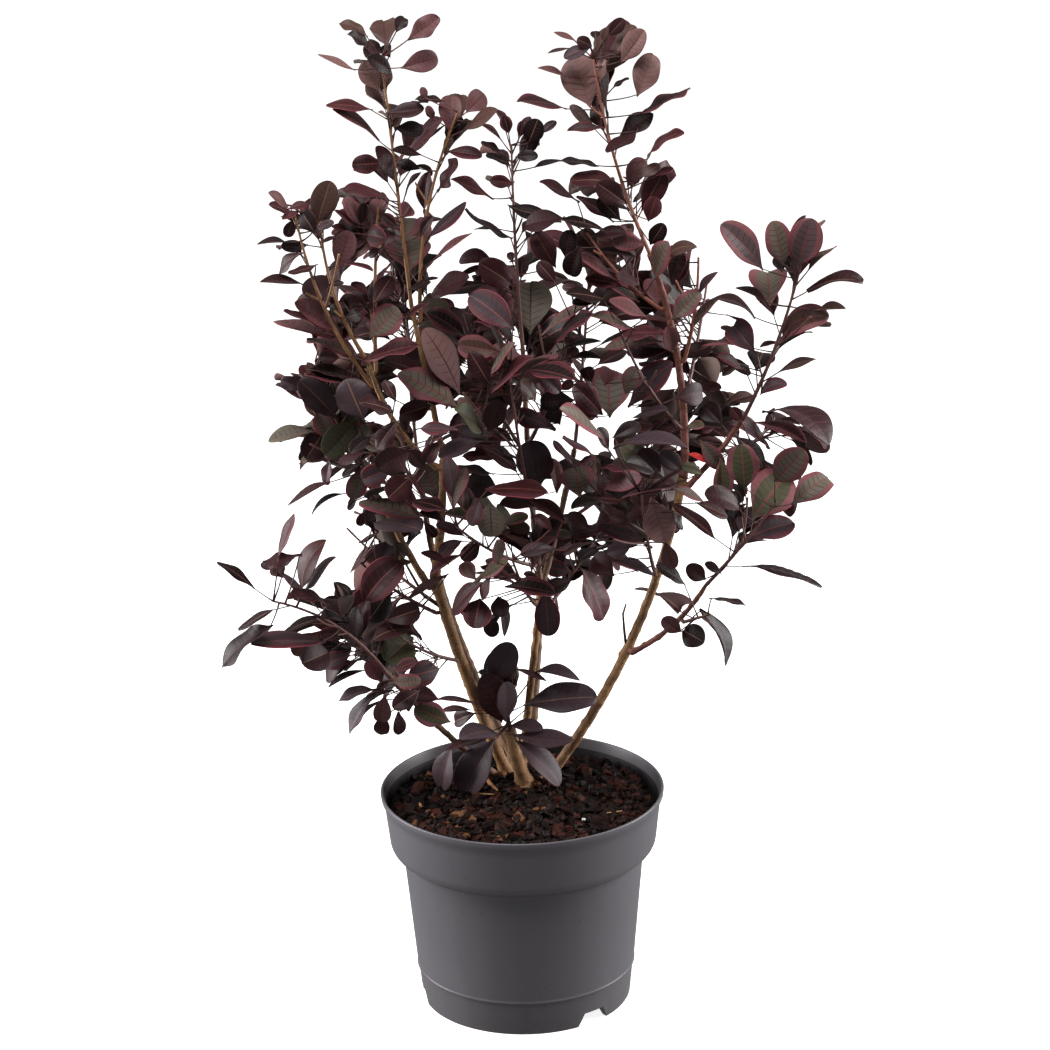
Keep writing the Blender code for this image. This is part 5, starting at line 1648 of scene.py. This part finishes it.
def place_seen_leaves(shoots, limbs, clearance):
    """Leaves that can be told apart in the picture, each hung from the shoot beside it."""
    limb_places = np.array([limbs[name].point(number / 30) for name in HIDDEN_LIMBS for number in range(31)])
    limb_spots = in_picture(limb_places)
    owners, places = [], []
    for name, line in shoots.items():
        for number in range(4, 25):
            owners.append(name)
            places.append(line.point(number / 24))
    blades = {name: [] for name in shoots}
    depths = []
    for spray, rows in SEEN_LEAVES.items():
        tints = SPRAYS[spray]
        for row in rows:
            dice = random.Random("seen %d %d" % row[:2])
            tint = dice.choices(list(tints), list(tints.values()))[0]
            slope = dice.getstate()
            depths.append(-math.inf)
            limit = limb_behind(row, limb_places, limb_spots)
            for nearer, depth in [(each, depth) for each in (limit, math.inf) for depth in SEEN_DEPTHS]:
                dice.setstate(slope)
                leaf, nearest = seen_leaf(dice, row, places, tint, depth * MM)
                blade = Blade(leaf)
                guard = blade_guard(blade)
                middle = float(np.mean(guard[0], 0)[1])
                if middle < nearer and not clearance.touches(guard):
                    clearance.place(guard)
                    blades[owners[nearest]].append((blade, spray))
                    depths[-1] = middle
                    break
    return blades, np.array(depths)


def leaf_finish(name, color, roughness, gloss):
    """Leaf surface: one base colour, faintly clouded, with a soft uneven shine."""
    skin = Finish(name, specular=gloss, sheen_weight=0.02, sheen_roughness=0.4)
    cloud = skin.noise(0.006, 3)
    dark = tuple(part * 0.80 for part in color)
    light = tuple(part * 1.22 for part in color)
    skin.set("Base Color", skin.mix(cloud, dark, light))
    skin.set("Roughness", cloud * 0.16 + (roughness - 0.08))
    skin.relief(skin.noise(0.0009, 2), 0.10 * MM)
    return skin.material


LEAF_FINISHES = {}
for tint_name, tint_color in TINTS.items():
    LEAF_FINISHES[tint_name] = leaf_finish("leaf_" + tint_name, tint_color, 0.46, 0.22)
for tint_name, tint_color in UNDERSIDES.items():
    LEAF_FINISHES[tint_name] = leaf_finish("underside_" + tint_name, tint_color, 0.7, 0.2)
for tint_name, tint_color in {**EDGES, **BLUSHES, **RIBS}.items():
    LEAF_FINISHES[tint_name] = leaf_finish("leaf_" + tint_name, tint_color, 0.52, 0.22)
LEAF_SLOTS = list(LEAF_FINISHES)


def add_leaf(skin, blade, spray, shape):
    """Thin blade with colours of its own on its face, veins, edge, blush and underside."""
    leaf = blade.leaf
    dice = random.Random("tint %.5f %.5f %.5f" % tuple(leaf.root))
    pink = dice.random() < PINK_SHARE[spray]
    warm = leaf.tint in ("mauve", "grey_olive", "bronze", "olive", "dusty", "dusk")
    colors = {
        "upper": leaf.tint,
        "edge": "pink_edge" if pink else leaf.tint if warm else "dull_edge",
        "blush": ("pink_blush" if warm else "wine_blush") if pink else leaf.tint,
        "rib": "pink_rib" if pink else dice.choice(("pale_rib", "dark_rib")),
        "vein": "mauve" if leaf.tint == "dusty" else dice.choice(("dark_rib", "wine_blush")),
        "under": dice.choice(("taupe", "taupe", "rose", "stone")),
    }
    slots = np.zeros(len(shape.kinds), int)
    for kind, color in colors.items():
        slots[shape.kinds == kind] = LEAF_SLOTS.index(color)
    upper, look = blade.surface(shape.upper)
    upper = upper + look * BLADE_THICKNESS / 2
    lower, look = blade.surface(shape.under)
    lower = lower - look * (BLADE_THICKNESS / 2 + shape.rib_swell)
    points = np.concatenate([upper.reshape(-1, 3), lower.reshape(-1, 3)])
    skin.add(points, shape.faces, slots)


def add_petiole(skin, leaf, slot):
    """Slender stalk from the shoot to the foot of the blade."""
    count = 4
    neck = leaf.root + leaf.stalk * leaf.petiole
    inside = neck + leaf.blade * 2.5 * MM
    bend = leaf.root.lerp(neck, 0.6) + UP * leaf.petiole * -0.03
    places, radii = [], []
    for number in range(count + 1):
        share = number / count
        rest = 1 - share
        places.append(leaf.root * rest * rest + bend * 2 * rest * share + inside * share * share)
        radii.append(PETIOLE_RADII[0] * rest + PETIOLE_RADII[1] * share)
    radii[0] *= 1.35
    points, quads = tube(places, radii, 4)
    skin.add(points, quads, slot)


def make_foliage():
    """All masses: shoots, twigs and spurs first, then the leaves between them."""
    clearance = Clearance()
    for line in limb_by_name.values():
        clearance.place(guard_tube(line, 1 * MM))
    bare = [bare_twig(limb_by_name[carrier], shown) for carrier, shown in BARE_TWIGS]
    for surface in bare:
        clearance.place(surface)
    shoots = shoot_lines(limb_by_name)
    for name, line in shoots.items():
        clearance.place(guard_tube(line), owner=name)
    twigs = {name: grow_twigs(name, line, clearance) for name, line in shoots.items()}
    spurs = {}
    for name, line in shoots.items():
        spurs[name] = grow_spurs(name, line, 2, clearance)
    owners, places = [], []
    for name, line in shoots.items():
        own = [line.point(step / SPACE_POINTS) for step in range(SPACE_POINTS + 1)]
        own += [twig.point(share) for twig in twigs[name] for share in (0.5, 1)]
        owners += [name] * len(own)
        places += own
    space = (np.array(owners), np.array(places))
    seen, depths = place_seen_leaves(shoots, limb_by_name, clearance)
    wood = Skin()
    stalks = Skin()
    groups = {}
    shoot_kinds = list(SHOOT_KINDS)
    for surface in bare:
        wood.add(*surface, shoot_kinds.index("dead"))
    for name, line in shoots.items():
        mass = MASSES[name]
        size = mass.blade * MM * BLADE_SIZE
        count = round(mass.leaves * MORE_LEAVES)
        leaves = grow_leaves(name, name, line, count, SHOOT_FIRST_LEAF, size, clearance, space,
                             depths)
        for number, twig in enumerate(twigs[name]):
            leaves += grow_leaves(name, "%s twig %d" % (name, number), twig, TWIG_LEAVES,
                                  TWIG_FIRST_LEAF, size * 0.9, clearance, space, depths)
        for number, spur in enumerate(spurs[name]):
            leaves += grow_leaves(name, "%s spur %d" % (name, number), spur, SPUR_LEAVES,
                                  SPUR_FIRST_LEAF, size * 0.7, clearance, space, depths)
        kind = "golden" if name in GOLDEN_SHOOTS else "red" if name in RED_SHOOTS else "purple"
        dice = random.Random("wood of " + name)
        for number, each in enumerate([line] + twigs[name] + spurs[name]):
            points, quads = twig_surface(each, dice, 1.5 * MM if number == 0 else 0.7 * MM)
            wood.add(points, quads, shoot_kinds.index(kind))
        group = next(word for word in ("back", "left", "right", "middle", "front", "low", "stub")
                     if word in name.replace("low_left", "low"))
        group = {"front": "middle", "stub": "low"}.get(group, group)
        skin, members = groups.setdefault(group, (Skin(), []))
        members.append(name)
        dealt = [(blade, spray, VEINED_BLADE) for blade, spray in seen[name]]
        dealt += [(blade, mass.spray, PLAIN_BLADE) for blade in leaves]
        for blade, spray, shape in dealt:
            add_leaf(skin, blade, spray, shape)
            add_petiole(stalks, blade.leaf, int(blade.leaf.tint not in ("wine", "mauve")))
    for group, (skin, members) in groups.items():
        leaves_piece = skin.piece(group + "_leaves", [LEAF_FINISHES[slot] for slot in LEAF_SLOTS])
        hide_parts(*members)
    twigs_piece = wood.piece("shoots_and_twigs", [SHOOT_KINDS[kind] for kind in shoot_kinds])
    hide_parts(*MASSES)
    red = shoot_finish("red_stalk", (0.17, 0.045, 0.040), (0.085, 0.024, 0.024))
    dark = shoot_finish("dark_stalk", (0.085, 0.035, 0.030), (0.040, 0.016, 0.016))
    stalk_piece = stalks.piece("leaf_stalks", [red, dark])
    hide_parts(*MASSES)


make_foliage()
